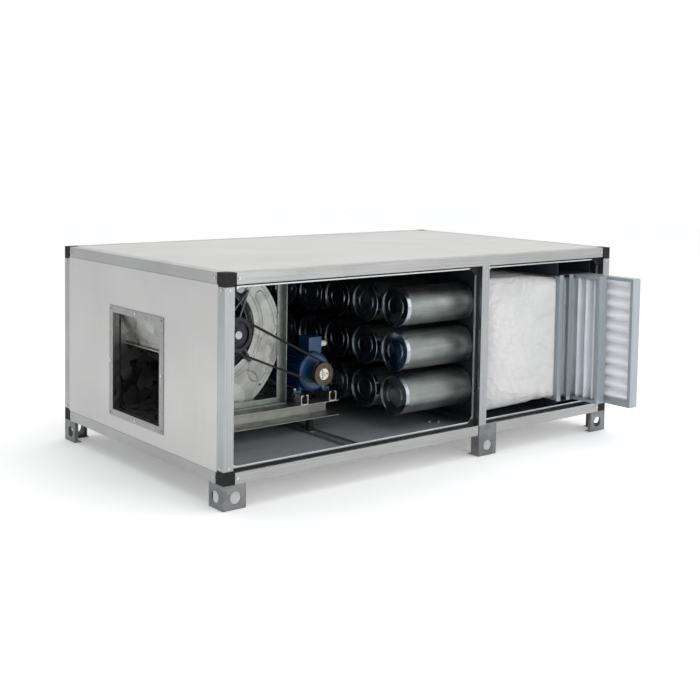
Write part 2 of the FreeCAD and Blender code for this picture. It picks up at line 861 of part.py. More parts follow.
def fan_housing():
    """Two side plates, the scroll sheet between them and the cut-off plate above the outlet."""
    half = size("fan_width / 2")
    sheet_thick = size("fan_sheet")
    front = size("scroll_front - fan_x")
    rim = size("scroll_rim")
    top = size("outlet_bottom + outlet_rise - fan_z")
    curve, start, end = scroll_curve(FLAT_START, rim)
    corners = [end, Vector(front, 0, end.z), Vector(front, 0, top + rim), start]
    edges = [curve] + [Part.makeLine(a, b) for a, b in zip(corners, corners[1:])]
    face = Part.Face(Part.Wire(Part.__sortEdges__(edges)))
    plate = face.extrude(Vector(0, sheet_thick, 0))
    hole_radius = size("ring_outer - ring_rim + plate_clear")
    hole = Part.makeCylinder(hole_radius, sheet_thick + 2, Vector(0, -1, 0), Vector(0, 1, 0))
    plate = plate.cut(hole)
    plates = [plate.translated(Vector(0, -half, 0)), plate.translated(Vector(0, half - sheet_thick, 0))]
    sub_part("fan_side_plates", fan_feature(Part.makeCompound(plates)))

    inside, start_in, end_in = scroll_curve(TONGUE, 0)
    outside, start_out, end_out = scroll_curve(TONGUE, sheet_thick)
    out = [end_in, Vector(front, 0, end_in.z), Vector(front, 0, end_out.z), end_out]
    edges = [inside, outside, Part.makeLine(start_in, start_out)]
    edges += [Part.makeLine(a, b) for a, b in zip(out, out[1:])]
    wrap = Part.Face(Part.Wire(Part.__sortEdges__(edges)))
    inner_half = half - sheet_thick
    wrap = wrap.extrude(Vector(0, 2 * inner_half, 0)).translated(Vector(0, -inner_half, 0))
    gap = size("panel_gap")
    lip_x, lip_z = scroll_point(TONGUE, sheet_thick + gap)
    lip = Vector(lip_x, 0, lip_z)
    high = Vector(front + sheet_thick, 0, top)
    along = (high - lip).normalize()
    across = Vector(-along.z, 0, along.x) * sheet_thick
    corners = [lip, high, high + across, lip + across, lip]
    cutoff = Part.Face(Part.makePolygon(corners)).extrude(Vector(0, 2 * inner_half, 0))
    cutoff = cutoff.translated(Vector(0, -inner_half, 0))
    bead_radius = 3 * sheet_thick
    bead_start = lip + across + Vector(-bead_radius, -inner_half, 0)
    bead = Part.makeCylinder(bead_radius, 2 * inner_half, bead_start, Vector(0, 1, 0))
    cutoff = cutoff.fuse(bead).removeSplitter()
    sub_part("fan_scroll", fan_feature(Part.makeCompound([wrap, cutoff])))


def inlet_rings():
    """A bell-mouth in each side plate: a flat rim outside and a rounded throat that turns inward."""
    rim = size("ring_outer")
    throat = size("fan_inlet_radius") - 4
    sheet_thick = size("fan_sheet")
    depth = size("ring_depth")
    bend = rim - size("ring_rim") - throat
    outer = bend
    inner = bend - sheet_thick
    centre = Vector(throat + bend, bend - sheet_thick, 0)

    def bend_point(radius, degrees):
        angle = math.radians(degrees)
        return centre - Vector(radius * math.sin(angle), radius * math.cos(angle), 0)

    arc_out = Part.Arc(bend_point(outer, 0), bend_point(outer, 45), bend_point(outer, 90)).toShape()
    arc_in = Part.Arc(bend_point(inner, 0), bend_point(inner, 45), bend_point(inner, 90)).toShape()
    points = [
        bend_point(outer, 90),
        Vector(throat, depth, 0),
        Vector(throat + sheet_thick, depth, 0),
        bend_point(inner, 90),
    ]
    edges = [arc_out, arc_in] + [Part.makeLine(a, b) for a, b in zip(points, points[1:])]
    low = bend_point(outer, 0)
    high = bend_point(inner, 0)
    flat = [high, Vector(rim, high.y, 0), Vector(rim, low.y, 0), low]
    edges += [Part.makeLine(a, b) for a, b in zip(flat, flat[1:])]
    ring = Part.Face(Part.Wire(Part.__sortEdges__(edges))).revolve(Vector(0, 0, 0), Vector(0, 1, 0), 360)
    half = size("fan_width / 2")
    front = ring.translated(Vector(0, -half, 0))
    rear = front.mirror(Vector(0, 0, 0), Vector(0, 1, 0))
    sub_part("fan_inlet_rings", fan_feature(Part.makeCompound([front, rear])))


def strut(start, end, radius):
    """A round bar between two points."""
    along = end - start
    return Part.makeCylinder(radius, along.Length, start, along)


def spiders():
    """On each side, a bearing housing held in front of the inlet by pairs of struts to the side plate."""
    half = size("fan_width / 2")
    sheet_thick = size("fan_sheet")
    hub = size("bearing_housing_radius")
    width = size("bearing_width")
    front = size("bearing_front - fan_y")
    arm = size("arm_radius")
    pad_radius = arm + size("arm_pad_rim")
    foot_radius = size("ring_outer") + pad_radius + 1
    inner = size("bearing_radius")
    hub_ring = Part.makeCylinder(hub, width, Vector(0, front, 0), Vector(0, 1, 0))
    bore = Part.makeCylinder(inner, width, Vector(0, front, 0), Vector(0, 1, 0))
    pieces = []
    for number in range(int(size("spider_arms"))):
        angle = size("spider_first") + 360 * number / size("spider_arms")
        c, s = math.cos(math.radians(angle)), math.sin(math.radians(angle))
        foot = Vector(foot_radius * c, -half - arm, foot_radius * s)
        pieces.append(Part.makeCylinder(pad_radius, arm, foot, Vector(0, 1, 0)))
        for lean in (-size("spider_lean"), size("spider_lean")):
            turn = math.radians(angle + lean)
            start = Vector((hub - arm) * math.cos(turn), front + width / 2, (hub - arm) * math.sin(turn))
            pieces.append(strut(start, foot, arm))
    body = hub_ring.multiFuse(pieces).cut(bore)
    reach = 2 * foot_radius
    outside = Part.makeBox(2 * reach, half, 2 * reach, Vector(-reach, -2 * half, -reach))
    front_side = body.common(outside)
    rear_side = front_side.mirror(Vector(0, 0, 0), Vector(0, 1, 0))
    sub_part("bearing_spiders", fan_feature(Part.makeCompound([front_side, rear_side])))

    race = "shaft_radius + shaft_clearance"
    made = []
    for start in ("bearing_front", "2 * fan_y - bearing_front - bearing_width"):
        bearing = turned(square_ring((race, "0"), ("bearing_radius", "bearing_width")))
        made.append(put(bearing, "fan_x", start, "fan_z"))
    sub_part("fan_bearings", group(made))


def fan_frame():
    """A rectangle of open channel bar up each side of the fan."""
    frames = []
    for side, front in ((-1, "fan_y - fan_width / 2 - frame_bar"), (1, "fan_y + fan_width / 2")):
        back = f"{front} + frame_bar"

        def ring_box(inset, y0, y1):
            low = (f"frame_left + {inset}", y0, f"frame_bottom + {inset}")
            high = (f"frame_right - {inset}", y1, f"frame_top - {inset}")
            return block(low, high)

        ring = cut(ring_box("0", front, back), ring_box("frame_bar", f"{front} - 1", f"{back} + 1"))
        groove = (f"{front} - 1", f"{back} - frame_sheet")
        if side == 1:
            groove = (f"{front} + frame_sheet", f"{back} + 1")
        inner = ring_box("frame_bar - frame_sheet", f"{groove[0]} - 1", f"{groove[1]} + 1")
        trough = cut(ring_box("frame_sheet", *groove), inner)
        frames.append(cut(ring, trough))
    sub_part("fan_frame", group(frames))


def base_and_mounts():
    """Two channels along the cabinet under the fan and motor, each on two rubber mounts."""
    channels = []
    rubbers = []
    plates = []
    floor = "foot_height + panel_thick + channel_sheet"
    for side, front in ((1, "base_front"), (-1, "2 * fan_y - base_front - base_deep")):
        low = ("base_left", front, "base_bottom")
        high = ("base_right", f"{front} + base_deep", "frame_bottom")
        web = (f"{front} - 1", f"{front} + base_deep - base_sheet")
        if side == -1:
            web = (f"{front} + base_sheet", f"{front} + base_deep + 1")
        trough = block(
            (f"{low[0]} - 1", web[0], "base_bottom + base_sheet"),
            (f"{high[0]} + 1", web[1], "frame_bottom - base_sheet"),
        )
        channels.append(cut(block(low, high), trough))
        for x in ("base_left + mount_left_inset", "base_right - mount_right_inset"):
            middle = f"{front} + base_deep / 2"
            foot = (x, middle, f"{floor} + mount_plate")
            rubbers.append(rod("Z", "mount_radius", foot, f"base_bottom - ({floor}) - 2 * mount_plate"))
            for z in (floor, "base_bottom - mount_plate"):
                plates.append(
                    block(
                        (f"{x} - mount_plate_half", f"{middle} - mount_plate_half", z),
                        (f"{x} + mount_plate_half", f"{middle} + mount_plate_half", f"{z} + mount_plate"),
                    )
                )
    sub_part("base_channels", group(channels + plates))
    sub_part("rubber_mounts", group(rubbers))


def outlet_sleeve():
    """A soft collar that joins the scroll's outlet to the end panel, so the fan doesn't shake the case."""
    side = "outlet_width / 2"
    band = f"(fan_width / 2 - {side})"
    top = "outlet_bottom + outlet_rise"
    x0 = "panel_thick"
    x1 = "scroll_front"
    outer = block(
        (x0, f"fan_y - {side} - {band}", f"outlet_bottom - {band}"),
        (x1, f"fan_y + {side} + {band}", f"{top} + {band}"),
    )
    inner = block((f"{x0} - 1", f"fan_y - {side}", "outlet_bottom"), (f"{x1} + 1", f"fan_y + {side}", top))
    sub_part("outlet_sleeve", cut(outer, inner))


# ---------------------------------------------------------------- fan wheel


def fan_wheel():
    """A double-inlet wheel: a middle disc with its hub, a ring at each inlet, and curved blades between."""
    half = size("wheel_width / 2")
    disc = size("wheel_disc")
    outer = size("wheel_radius")
    inner = size("wheel_inner")
    rings = [
        turned(square_ring(("wheel_inner", start), ("wheel_radius", f"{start} + wheel_disc")))
        for start in ("-wheel_width / 2", "wheel_width / 2 - wheel_disc")
    ]
    bore = "shaft_radius"
    hub = [
        (bore, "-hub_width / 2"),
        ("hub_radius", "-hub_width / 2"),
        ("hub_radius", "-wheel_disc / 2"),
        ("wheel_radius", "-wheel_disc / 2"),
        ("wheel_radius", "wheel_disc / 2"),
        ("hub_radius", "wheel_disc / 2"),
        ("hub_radius", "hub_width / 2"),
        (bore, "hub_width / 2"),
    ]
    pieces = [put(piece, "fan_x", "fan_y", "fan_z") for piece in rings + [turned(hub)]]
    sub_part("fan_wheel_discs", group(pieces))

    thick = size("blade_thick")
    count = int(size("blade_count"))
    middle = (outer + inner) / 2
    tilt = 8

    def blade_point(radius, degrees):
        return Vector(radius * math.cos(math.radians(degrees)), 0, radius * math.sin(math.radians(degrees)))

    lag = math.degrees(thick / middle)
    radii = (inner + 0.5, middle, outer - 1)
    turns = (tilt / 2, 0, -tilt / 4)
    first = [blade_point(radius, turn) for radius, turn in zip(radii, turns)]
    second = [blade_point(radius, turn + lag) for radius, turn in zip(radii, turns)]
    edges = [
        Part.Arc(*first).toShape(),
        Part.Arc(*second).toShape(),
        Part.makeLine(first[0], second[0]),
        Part.makeLine(first[2], second[2]),
    ]
    face = Part.Face(Part.Wire(Part.__sortEdges__(edges)))
    blade = face.extrude(Vector(0, half - disc - disc / 2, 0))
    blades = []
    for number in range(count):
        turn = 360 * number / count
        for start in (disc / 2, disc - half):
            made = blade.translated(Vector(0, start, 0))
            made.rotate(Vector(0, 0, 0), Vector(0, 1, 0), turn)
            blades.append(made)
    sub_part("fan_wheel_blades", fan_feature(Part.makeCompound(blades)))


def groove(radius):
    """Corners of a pulley's face from its front edge to its rear one, round the groove."""
    half = "pulley_width / 2"
    top = "(belt_top_width / 2 + belt_clearance)"
    low = "(belt_inner_width / 2 + belt_clearance)"
    floor = f"{radius} - belt_thick - groove_relief"
    front = [(radius, f"-{half}"), (radius, f"-{top}"), (floor, f"-{low}")]
    return front + [(floor, low), (radius, top), (radius, half)]


def fan_pulley():
    """A turned single-groove pulley with a thick rim, a thin web and a hub."""
    half = "pulley_width / 2"
    rim = "fan_pulley_radius - pulley_rim"
    bore = "shaft_radius"
    hub = "shaft_radius + pulley_hub"
    web = "pulley_web / 2"
    front = [(bore, f"-{half}"), (hub, f"-{half}"), (hub, f"-{web}"), (rim, f"-{web}"), (rim, f"-{half}")]
    rear = [(rim, half), (rim, web), (hub, web), (hub, half), (bore, half)]
    corners = front + groove("fan_pulley_radius") + rear
    sub_part("fan_pulley", put(turned(corners), "fan_x", "belt_y", "fan_z"))


def fan_shaft():
    shaft = rod("Y", "shaft_radius", ("fan_x", "shaft_front", "fan_z"), "shaft_rear - shaft_front")
    sub_part("fan_shaft", shaft)


def belt():
    """A V-belt on the open drive: two arcs round the pulleys and the two straight runs between them."""
    x = size("motor_x - fan_x")
    z = size("motor_z - fan_z")
    distance = math.hypot(x, z)
    line = math.atan2(z, x)
    big = size("fan_pulley_radius")
    small = size("motor_pulley_radius")
    lean = math.acos((big - small) / distance)
    depth = size("belt_thick")
    sides = ((0, size("belt_top_width / 2")), (depth, size("belt_inner_width / 2")))

    def loop(inset, y):
        """The belt's closed line, this far inside its outer face."""

        def at(centre, radius, angle):
            return Vector(centre[0] + radius * math.cos(angle), y, centre[1] + radius * math.sin(angle))

        centres = ((0, 0), (x, z))
        radii = (big - inset, small - inset)
        up = line + lean
        down = line - lean
        big_up, big_down = (at(centres[0], radii[0], angle) for angle in (up, down))
        small_up, small_down = (at(centres[1], radii[1], angle) for angle in (up, down))
        back = at(centres[0], radii[0], line + math.pi)
        front = at(centres[1], radii[1], line)
        edges = [
            Part.Arc(big_up, back, big_down).toShape(),
            Part.makeLine(big_down, small_down),
            Part.Arc(small_down, front, small_up).toShape(),
            Part.makeLine(small_up, big_up),
        ]
        return Part.Wire(edges)

    inset, half_width = sides[0]
    inner_inset, inner_half = sides[1]
    walls = []
    for side in (-1, 1):
        outer_edge = loop(inset, side * half_width)
        walls.append(Part.makeRuledSurface(outer_edge, loop(inner_inset, side * inner_half)))
    walls.append(Part.makeRuledSurface(loop(inset, -half_width), loop(inset, half_width)))
    walls.append(Part.makeRuledSurface(loop(inner_inset, -inner_half), loop(inner_inset, inner_half)))
    faces = [face for wall in walls for face in wall.Faces]
    solid = Part.makeSolid(Part.makeShell(faces))
    if solid.Volume < 0:
        solid.reverse()
    solid.fix(0.01, 0.01, 0.01)
    sub_part("drive_belt", feature(solid, at=("fan_x", "belt_y", "fan_z")))


# ---------------------------------------------------------------- motor


def motor_y(along):
    """A place along the motor, from its drive-end face."""
    return f"motor_front + {along}"


def motor_body():
    """The finned housing on its feet, with the shields, stator, cowl, terminal box and cable gland."""
    housing = doc.addObject("PartDesign::Body", "body")
    circles = [("0", "0", "housing_radius"), ("0", "0", "housing_bore")]
    rings = new_sketch(housing, "XZ_Plane", circles=circles)
    pad = housing.newObject("PartDesign::Pad", "pad")
    pad.Profile = rings
    pad.setExpression("Length", bound("stator_length"))
    pad.Reversed = True
    doc.recompute()
    low = ("housing_radius - 1", "-motor_fin_thick / 2")
    high = ("motor_fin_radius", "motor_fin_thick / 2")
    fin = new_sketch(housing, "XZ_Plane", [square_ring(low, high)])
    fin_pad = housing.newObject("PartDesign::Pad", "fin")
    fin_pad.Profile = fin
    fin_pad.setExpression("Length", bound("stator_length"))
    fin_pad.Reversed = True
    doc.recompute()
    patterned(housing, fin_pad, fin, "motor_fins")
    start = motor_y("shield_thick")
    put(housing, "motor_x", start, "motor_z")
    end = f"{start} + stator_length"
    sole = "frame_bottom + cross_rail_rise"
    pieces = [housing]
    first_foot = f"{start} + stator_length / 2 - feet_pitch / 2"
    for side in SIDES:
        middle = f"motor_x - {side} * feet_gauge / 2"
        pieces.append(
            block(
                (f"{middle} - feet_width / 2", f"{start} + 5", sole),
                (f"{middle} + feet_width / 2", f"{end} - 5", f"{sole} + feet_thick"),
            )
        )
        xs = span(f"{middle} + {side} * feet_web / 2", f"motor_x - {side} * feet_web / 2", side)
        for y in (first_foot, f"{first_foot} + feet_pitch"):
            low = (xs[0], f"{y} - feet_web / 2", f"{sole} + feet_thick")
            high = (xs[1], f"{y} + feet_web / 2", "motor_z - housing_radius + feet_web_rise")
            pieces.append(block(low, high))
    box_x = "motor_x + box_shift"
    box_low = "motor_z + housing_radius"
    box_y = f"{start} + box_inset"
    pieces.append(
        block(
            (f"{box_x} - box_neck / 2", box_y, f"{box_low} - box_inset"),
            (f"{box_x} + box_neck / 2", f"{box_y} + box_depth", box_low),
        )
    )
    bore = rod("Y", "housing_bore", ("motor_x", f"{start} - 1", "motor_z"), "stator_length + 2")
    above = block(
        (f"{box_x} - box_length / 2 - 1", f"{box_y} - 1", box_low),
        (f"{box_x} + box_length / 2 + 1", f"{box_y} + box_depth + 1", f"{box_low} + 20"),
    )
    holes = []
    for x in ("motor_x - feet_gauge / 2", "motor_x + feet_gauge / 2"):
        for y in (first_foot, f"{first_foot} + feet_pitch"):
            holes.append(rod("Z", "feet_hole_radius", (x, y, f"{sole} - 1"), "feet_thick + 2"))
    made = fuse(pieces)
    for tool in [bore, above] + holes:
        made = cut(made, tool)
    sub_part("motor_housing", made)

    race = "motor_shaft_radius + shaft_clearance"
    boss = "housing_bore / 2"
    shield = [
        (race, "-6"),
        (boss, "-6"),
        (boss, "0"),
        ("shield_radius - 10", "0"),
        ("shield_radius", "6"),
        ("shield_radius", "shield_thick"),
        ("housing_bore - 3", "shield_thick"),
        ("housing_bore - 3", "8"),
        (f"{boss} - 4", "8"),
        (f"{boss} - 4", "shield_thick + 6"),
        (race, "shield_thick + 6"),
    ]
    front = put(turned(shield), "motor_x", "motor_front", "motor_z")
    back = [(radius, f"shield_thick - ({along})") for radius, along in shield]
    rear = put(turned(back), "motor_x", end, "motor_z")
    sub_part("motor_end_shields", group([front, rear]))

    cowl_start = f"{end} + shield_thick"
    wall = "cowl_sheet"
    cup = [
        (f"cowl_radius - {wall}", "-8"),
        ("cowl_radius", "-8"),
        ("cowl_radius", "cowl_length - 10"),
        ("cowl_radius - 10", "cowl_length"),
        ("20", "cowl_length"),
        ("20", f"cowl_length - {wall}"),
        (f"cowl_radius - 10 - {wall} / 2", f"cowl_length - {wall}"),
        (f"cowl_radius - {wall}", f"cowl_length - 10 - {wall} / 2"),
    ]
    sub_part("motor_fan_cowl", put(turned(cup), "motor_x", cowl_start, "motor_z"))

    rings = [("0", "0", "housing_bore"), ("0", "0", "stator_bore")]
    stator = padded("XZ_Plane", "core_length", circles=rings, reverse=True)
    sub_part("motor_stator", put(stator, "motor_x", f"{start} + core_inset", "motor_z"))

    side_x = f"{box_x} + box_length / 2"
    body = block(
        (f"{box_x} - box_length / 2", box_y, box_low),
        (side_x, f"{box_y} + box_depth", f"{box_low} + box_rise"),
    )
    wall = "box_wall"
    inside = block(
        (f"{box_x} - box_length / 2 + {wall}", f"{box_y} + {wall}", f"{box_low} + {wall}"),
        (f"{side_x} - {wall}", f"{box_y} + box_depth - {wall}", f"{box_low} + box_rise - {wall}"),
    )
    entry_z = f"{box_low} + box_rise / 2"
    entry_y = f"{box_y} + gland_radius + box_wall"
    entry = rod("X", "gland_radius - 2", (f"{side_x} - box_wall - 1", entry_y, entry_z), "2 * box_wall")
    sub_part("motor_terminal_box", cut(cut(body, inside), entry))

    gland = [
        ("0", "-3"),
        ("gland_radius - 2", "-3"),
        ("gland_radius - 2", "0"),
        ("gland_radius", "0"),
        ("gland_radius", "gland_length * 0.4"),
        ("gland_radius - 1", "gland_length * 0.45"),
        ("gland_radius - 1", "gland_length - 5"),
        ("gland_radius - 4", "gland_length"),
        ("0", "gland_length"),
    ]
    sub_part("motor_cable_gland", put(turned(gland, "X"), side_x, entry_y, entry_z))
    return first_foot, sole


def motor_slide():
    """Two channels across the base that the motor stands on; they slide along it to tighten the belt."""
    first_foot, sole = motor_body()
    rails_made = []
    bolts = []
    for x in ("motor_x - feet_gauge / 2", "motor_x + feet_gauge / 2"):
        low = (f"{x} - cross_rail_width / 2", "base_front", "frame_bottom")
        high = (f"{x} + cross_rail_width / 2", "2 * fan_y - base_front", sole)
        wall = "cross_rail_sheet"
        trough = block(
            (f"{low[0]} + {wall}", f"{low[1]} - 1", f"{low[2]} + {wall}"),
            (f"{high[0]} - {wall}", f"{high[1]} + 1", f"{high[2]} - {wall}"),
        )
        slot = block(
            (f"{x} - cross_rail_slot / 2", f"{low[1]} - 1", f"{high[2]} - {wall} - 1"),
            (f"{x} + cross_rail_slot / 2", f"{high[1]} + 1", f"{high[2]} + 1"),
        )
        rails_made.append(cut(cut(block(low, high), trough), slot))
        for y in (first_foot, f"{first_foot} + feet_pitch"):
            shank = rod("Z", "feet_bolt_radius", (x, y, f"{sole} - 5"), "feet_thick + 5")
            bolt_head = rod("Z", "bolt_head_radius", (x, y, f"{sole} + feet_thick"), "bolt_head_thick")
            bolts.append(fuse([shank, bolt_head]))
    sub_part("motor_cross_rails", group(rails_made))
    sub_part("motor_bolts", group(bolts))


def motor_rotor():
    """The shaft with its rotor, the cooling fan, the belt pulley and the taper bush that grips the shaft."""
    start = motor_y("shield_thick + core_inset")
    pulley_front = "belt_y - pulley_width / 2"
    shaft_end = motor_y("2 * shield_thick + stator_length + shaft_beyond")
    place = ("motor_x", f"{pulley_front} - 2", "motor_z")
    shaft = rod("Y", "motor_shaft_radius", place, f"{shaft_end} - ({place[1]})")
    core = rod("Y", "rotor_radius", ("motor_x", start, "motor_z"), "core_length")
    sub_part("motor_rotor", fuse([shaft, core]))
    bore = [("bush_radius", "pulley_width / 2"), ("bush_radius", "-pulley_width / 2")]
    pulley = turned(groove("motor_pulley_radius") + bore)
    sub_part("motor_pulley", put(pulley, "motor_x", "belt_y", "motor_z"))
    bush = doc.addObject("PartDesign::Body", "body")
    ring = new_sketch(bush, "XZ_Plane", circles=[("0", "0", "bush_radius"), ("0", "0", "motor_shaft_radius")])
    pad = bush.newObject("PartDesign::Pad", "pad")
    pad.Profile = ring
    pad.setExpression("Length", bound("pulley_width"))
    pad.Reversed = True
    doc.recompute()
    screw = ("(bush_radius + motor_shaft_radius) / 2", "0", "bush_screw_radius")
    hole = new_sketch(bush, "XZ_Plane", circles=[screw])
    pocket = bush.newObject("PartDesign::Pocket", "pocket")
    pocket.Profile = hole
    pocket.setExpression("Length", bound("pulley_width / 2"))
    pocket.Reversed = False
    doc.recompute()
    patterned(bush, pocket, hole, "bush_screws")
    doc.recompute()
    full = math.pi * size("bush_radius^2 - motor_shaft_radius^2") * size("pulley_width")
    if bush.Shape.Volume > full * 0.99:
        raise RuntimeError("the bush's screw holes cut nothing")
    sub_part("motor_pulley_bush", put(bush, "motor_x", pulley_front, "motor_z"))
    fan_start = motor_y("2 * shield_thick + stator_length + cooling_inset")
    cup = [
        ("motor_shaft_radius", "0"),
        ("cooling_radius", "0"),
        ("cooling_radius", "cooling_length - 2"),
        ("cooling_radius - 4", "cooling_length - 2"),
        ("24", "4"),
        ("20", "cooling_length"),
        ("motor_shaft_radius", "cooling_length"),
    ]
    sub_part("motor_cooling_fan", put(turned(cup), "motor_x", fan_start, "motor_z"))


# ---------------------------------------------------------------- carbon cylinders


def cylinder_shifts():
    """Where each cylinder stands, counted from the nearest one in the bottom row."""
    columns = int(size("cylinder_columns"))
    rows_up = int(size("cylinder_rows"))
    pitch = size("column_pitch")
    rise = size("row_pitch")
    return [Vector(0, pitch * column, rise * row) for column in range(columns) for row in range(rows_up)]


def carbon_bank():
    """Rows of carbon cylinders standing out of a plate across the cabinet, closed at the fan's end."""
    wall = "cylinder_radius - cylinder_sheet"
    cap_end = "cylinder_cap"
    length = "(plate_x - cylinder_left)"
    place = ("cylinder_left", "first_column", "first_row")
    shifts = cylinder_shifts()
    shell = square_ring((wall, cap_end), ("cylinder_radius", f"{length} - base_ring_length"))
    cap = [
        ("0", "cap_dish"),
        ("cap_ring_radius - 3", "cap_dish"),
        ("cap_ring_radius - 3", "cap_dish - 3"),
        ("cap_ring_radius", "cap_dish - 3"),
        ("cap_ring_radius", "cap_dish"),
        ("cap_rim_radius - 7", "cap_dish"),
        ("cap_rim_radius - 5", "0"),
        ("cap_rim_radius - 1.5", "0"),
        ("cap_rim_radius", "1.5"),
        ("cap_rim_radius", cap_end),
        ("0", cap_end),
    ]
    ring = [
        (wall, f"{length} - base_ring_length"),
        ("cap_rim_radius", f"{length} - base_ring_length"),
        ("cap_rim_radius", f"{length} - 5"),
        ("cap_rim_radius - 4", length),
        ("plate_hole_radius", length),
        ("plate_hole_radius", f"{length} - 4"),
        (wall, f"{length} - 4"),
    ]
    bed = square_ring(("carbon_inner_radius", cap_end), (wall, f"{length} - 4"))
    for label, corners in (
        ("carbon_shells", shell),
        ("carbon_end_caps", cap),
        ("carbon_base_rings", ring),
        ("carbon_beds", bed),
    ):
        drawn = put(turned(corners, "X"), *place)
        doc.recompute()
        sub_part(label, moved_copies(drawn, shifts))

    plate = block(
        ("plate_x", "profile_size + 2", "foot_height + panel_thick + fin_thick"),
        ("plate_x + plate_thick", "casing_depth - profile_size - 2", "casing_top - panel_thick - fin_thick"),
    )
    holes = []
    for shift in shifts:
        at = ("plate_x - 1", f"first_column + {shift.y}", f"first_row + {shift.z}")
        holes.append(rod("X", "plate_hole_radius", at, "plate_thick + 2"))
    sub_part("carbon_plate", cut(plate, holes))


def moved_copies(drawn, shifts):
    """One compound of copies, in the part's own frame."""
    shapes = [drawn.Shape.translated(shift) for shift in shifts]
    made = doc.addObject("Part::Feature", "copies")
    made.Shape = Part.makeCompound(shapes)
    made.Placement = Placement()
    return made


# ---------------------------------------------------------------- filter stages

REAR = "cell_front + cell_width + cell_gap"


def cell_frame(left, thick, front):
    """A sheet-metal cell frame: a channel all round, open on both faces inside a lip."""
    y1 = f"{front} + cell_width"
    body = block((left, front, "cell_bottom"), (f"{left} + {thick}", y1, "cell_top"))
    face = block(
        (f"{left} - 1", f"{front} + cell_lip", "cell_bottom + cell_lip"),
        (f"{left} + {thick} + 1", f"{y1} - cell_lip", "cell_top - cell_lip"),
    )
    inside = block(
        (f"{left} + cell_sheet", f"{front} + cell_sheet", "cell_bottom + cell_sheet"),
        (f"{left} + {thick} - cell_sheet", f"{y1} - cell_sheet", "cell_top - cell_sheet"),
    )
    return cut(cut(body, face), inside)


def cell_media(left, thick, front):
    """The pleated pack that fills a cell's frame."""
    inset = "(cell_sheet + 0.3)"
    return block(
        (f"{left} + {inset}", f"{front} + {inset}", f"cell_bottom + {inset}"),
        (f"{left} + {thick} - {inset}", f"{front} + cell_width - {inset}", f"cell_top - {inset}"),
    )


def pocket_left(front, number):
    pitch = "((cell_width - 2 * pocket_margin) / pocket_count)"
    return f"{front} + pocket_margin + {pitch} * {number}", pitch


def bag_header(front):
    """The bag filter's header: a thin frame with an upright between each pair of pocket mouths."""
    y1 = f"{front} + cell_width"
    made = block(("bag_left", front, "cell_bottom"), ("bag_left + bag_thick", y1, "cell_top"))
    mouths = []
    for number in range(int(size("pocket_count"))):
        left, pitch = pocket_left(front, number)
        mouths.append(
            block(
                ("bag_left - 1", f"{left} + 7", "cell_bottom + cell_lip"),
                ("bag_left + bag_thick + 1", f"{left} + {pitch} - 7", "cell_top - cell_lip"),
            )
        )
    return cut(made, mouths)


def pocket_wedge(front, number, inset):
    """A pocket's outside, or with an inset its hollow: narrower and deeper towards the sewn far edge."""
    left, pitch = pocket_left(front, number)
    wedge = doc.addObject("Part::Wedge", "pocket")
    narrow = "(pocket_thick - pocket_end_thick) / 2"
    height = "(cell_top - cell_bottom - 2 * pocket_clear)"
    for prop, text in (
        ("Xmin", inset),
        ("X2min", f"{narrow} + {inset}"),
        ("Xmax", f"pocket_thick - {inset}"),
        ("X2max", f"pocket_thick - {narrow} - {inset}"),
        ("Ymin", inset),
        ("Ymax", f"bag_left - pocket_end - {inset}"),
        ("Zmin", inset),
        ("Z2min", f"{inset} - pocket_sag"),
        ("Zmax", f"{height} - {inset}"),
        ("Z2max", f"{height} + pocket_rise - {inset}"),
    ):
        wedge.setExpression(prop, bound(text))
    turn = Rotation(Vector(0, 0, 1), 90)
    start = f"{left} + {pitch} / 2 - pocket_thick / 2"
    return put(wedge, "bag_left", start, "cell_bottom + pocket_clear", turn=turn)


def bag_pockets(front):
    """Tapering fabric pockets, each closed round its hollow, from the header to its sewn far edge."""
    numbers = range(int(size("pocket_count")))
    return [cut(pocket_wedge(front, i, "0"), pocket_wedge(front, i, "pocket_wall")) for i in numbers]


STAGES = (
    ("thin_cell", "thin_left", "thin_thick", "cell_front"),
    ("inner_cell", "inner_left", "deep_thick", "cell_front - inner_pulled"),
    ("outer_cell", "outer_left", "deep_thick", "cell_front - outer_pulled"),
)


def filters():
    """The front filters, each a piece of its own that slides out, and the same filters behind them."""
    sub_part("bag_header", bag_header("cell_front"))
    sub_part("bag_pockets", group(bag_pockets("cell_front")))
    rear_frames = [bag_header(REAR)]
    rear_media = bag_pockets(REAR)
    for label, left, thick, front in STAGES:
        sub_part(label + "_frame", cell_frame(left, thick, front))
        sub_part(label + "_media", cell_media(left, thick, front))
        rear_frames.append(cell_frame(left, thick, REAR))
        rear_media.append(cell_media(left, thick, REAR))
    sub_part("rear_filter_frames", group(rear_frames))
    sub_part("rear_filter_media", group(rear_media))


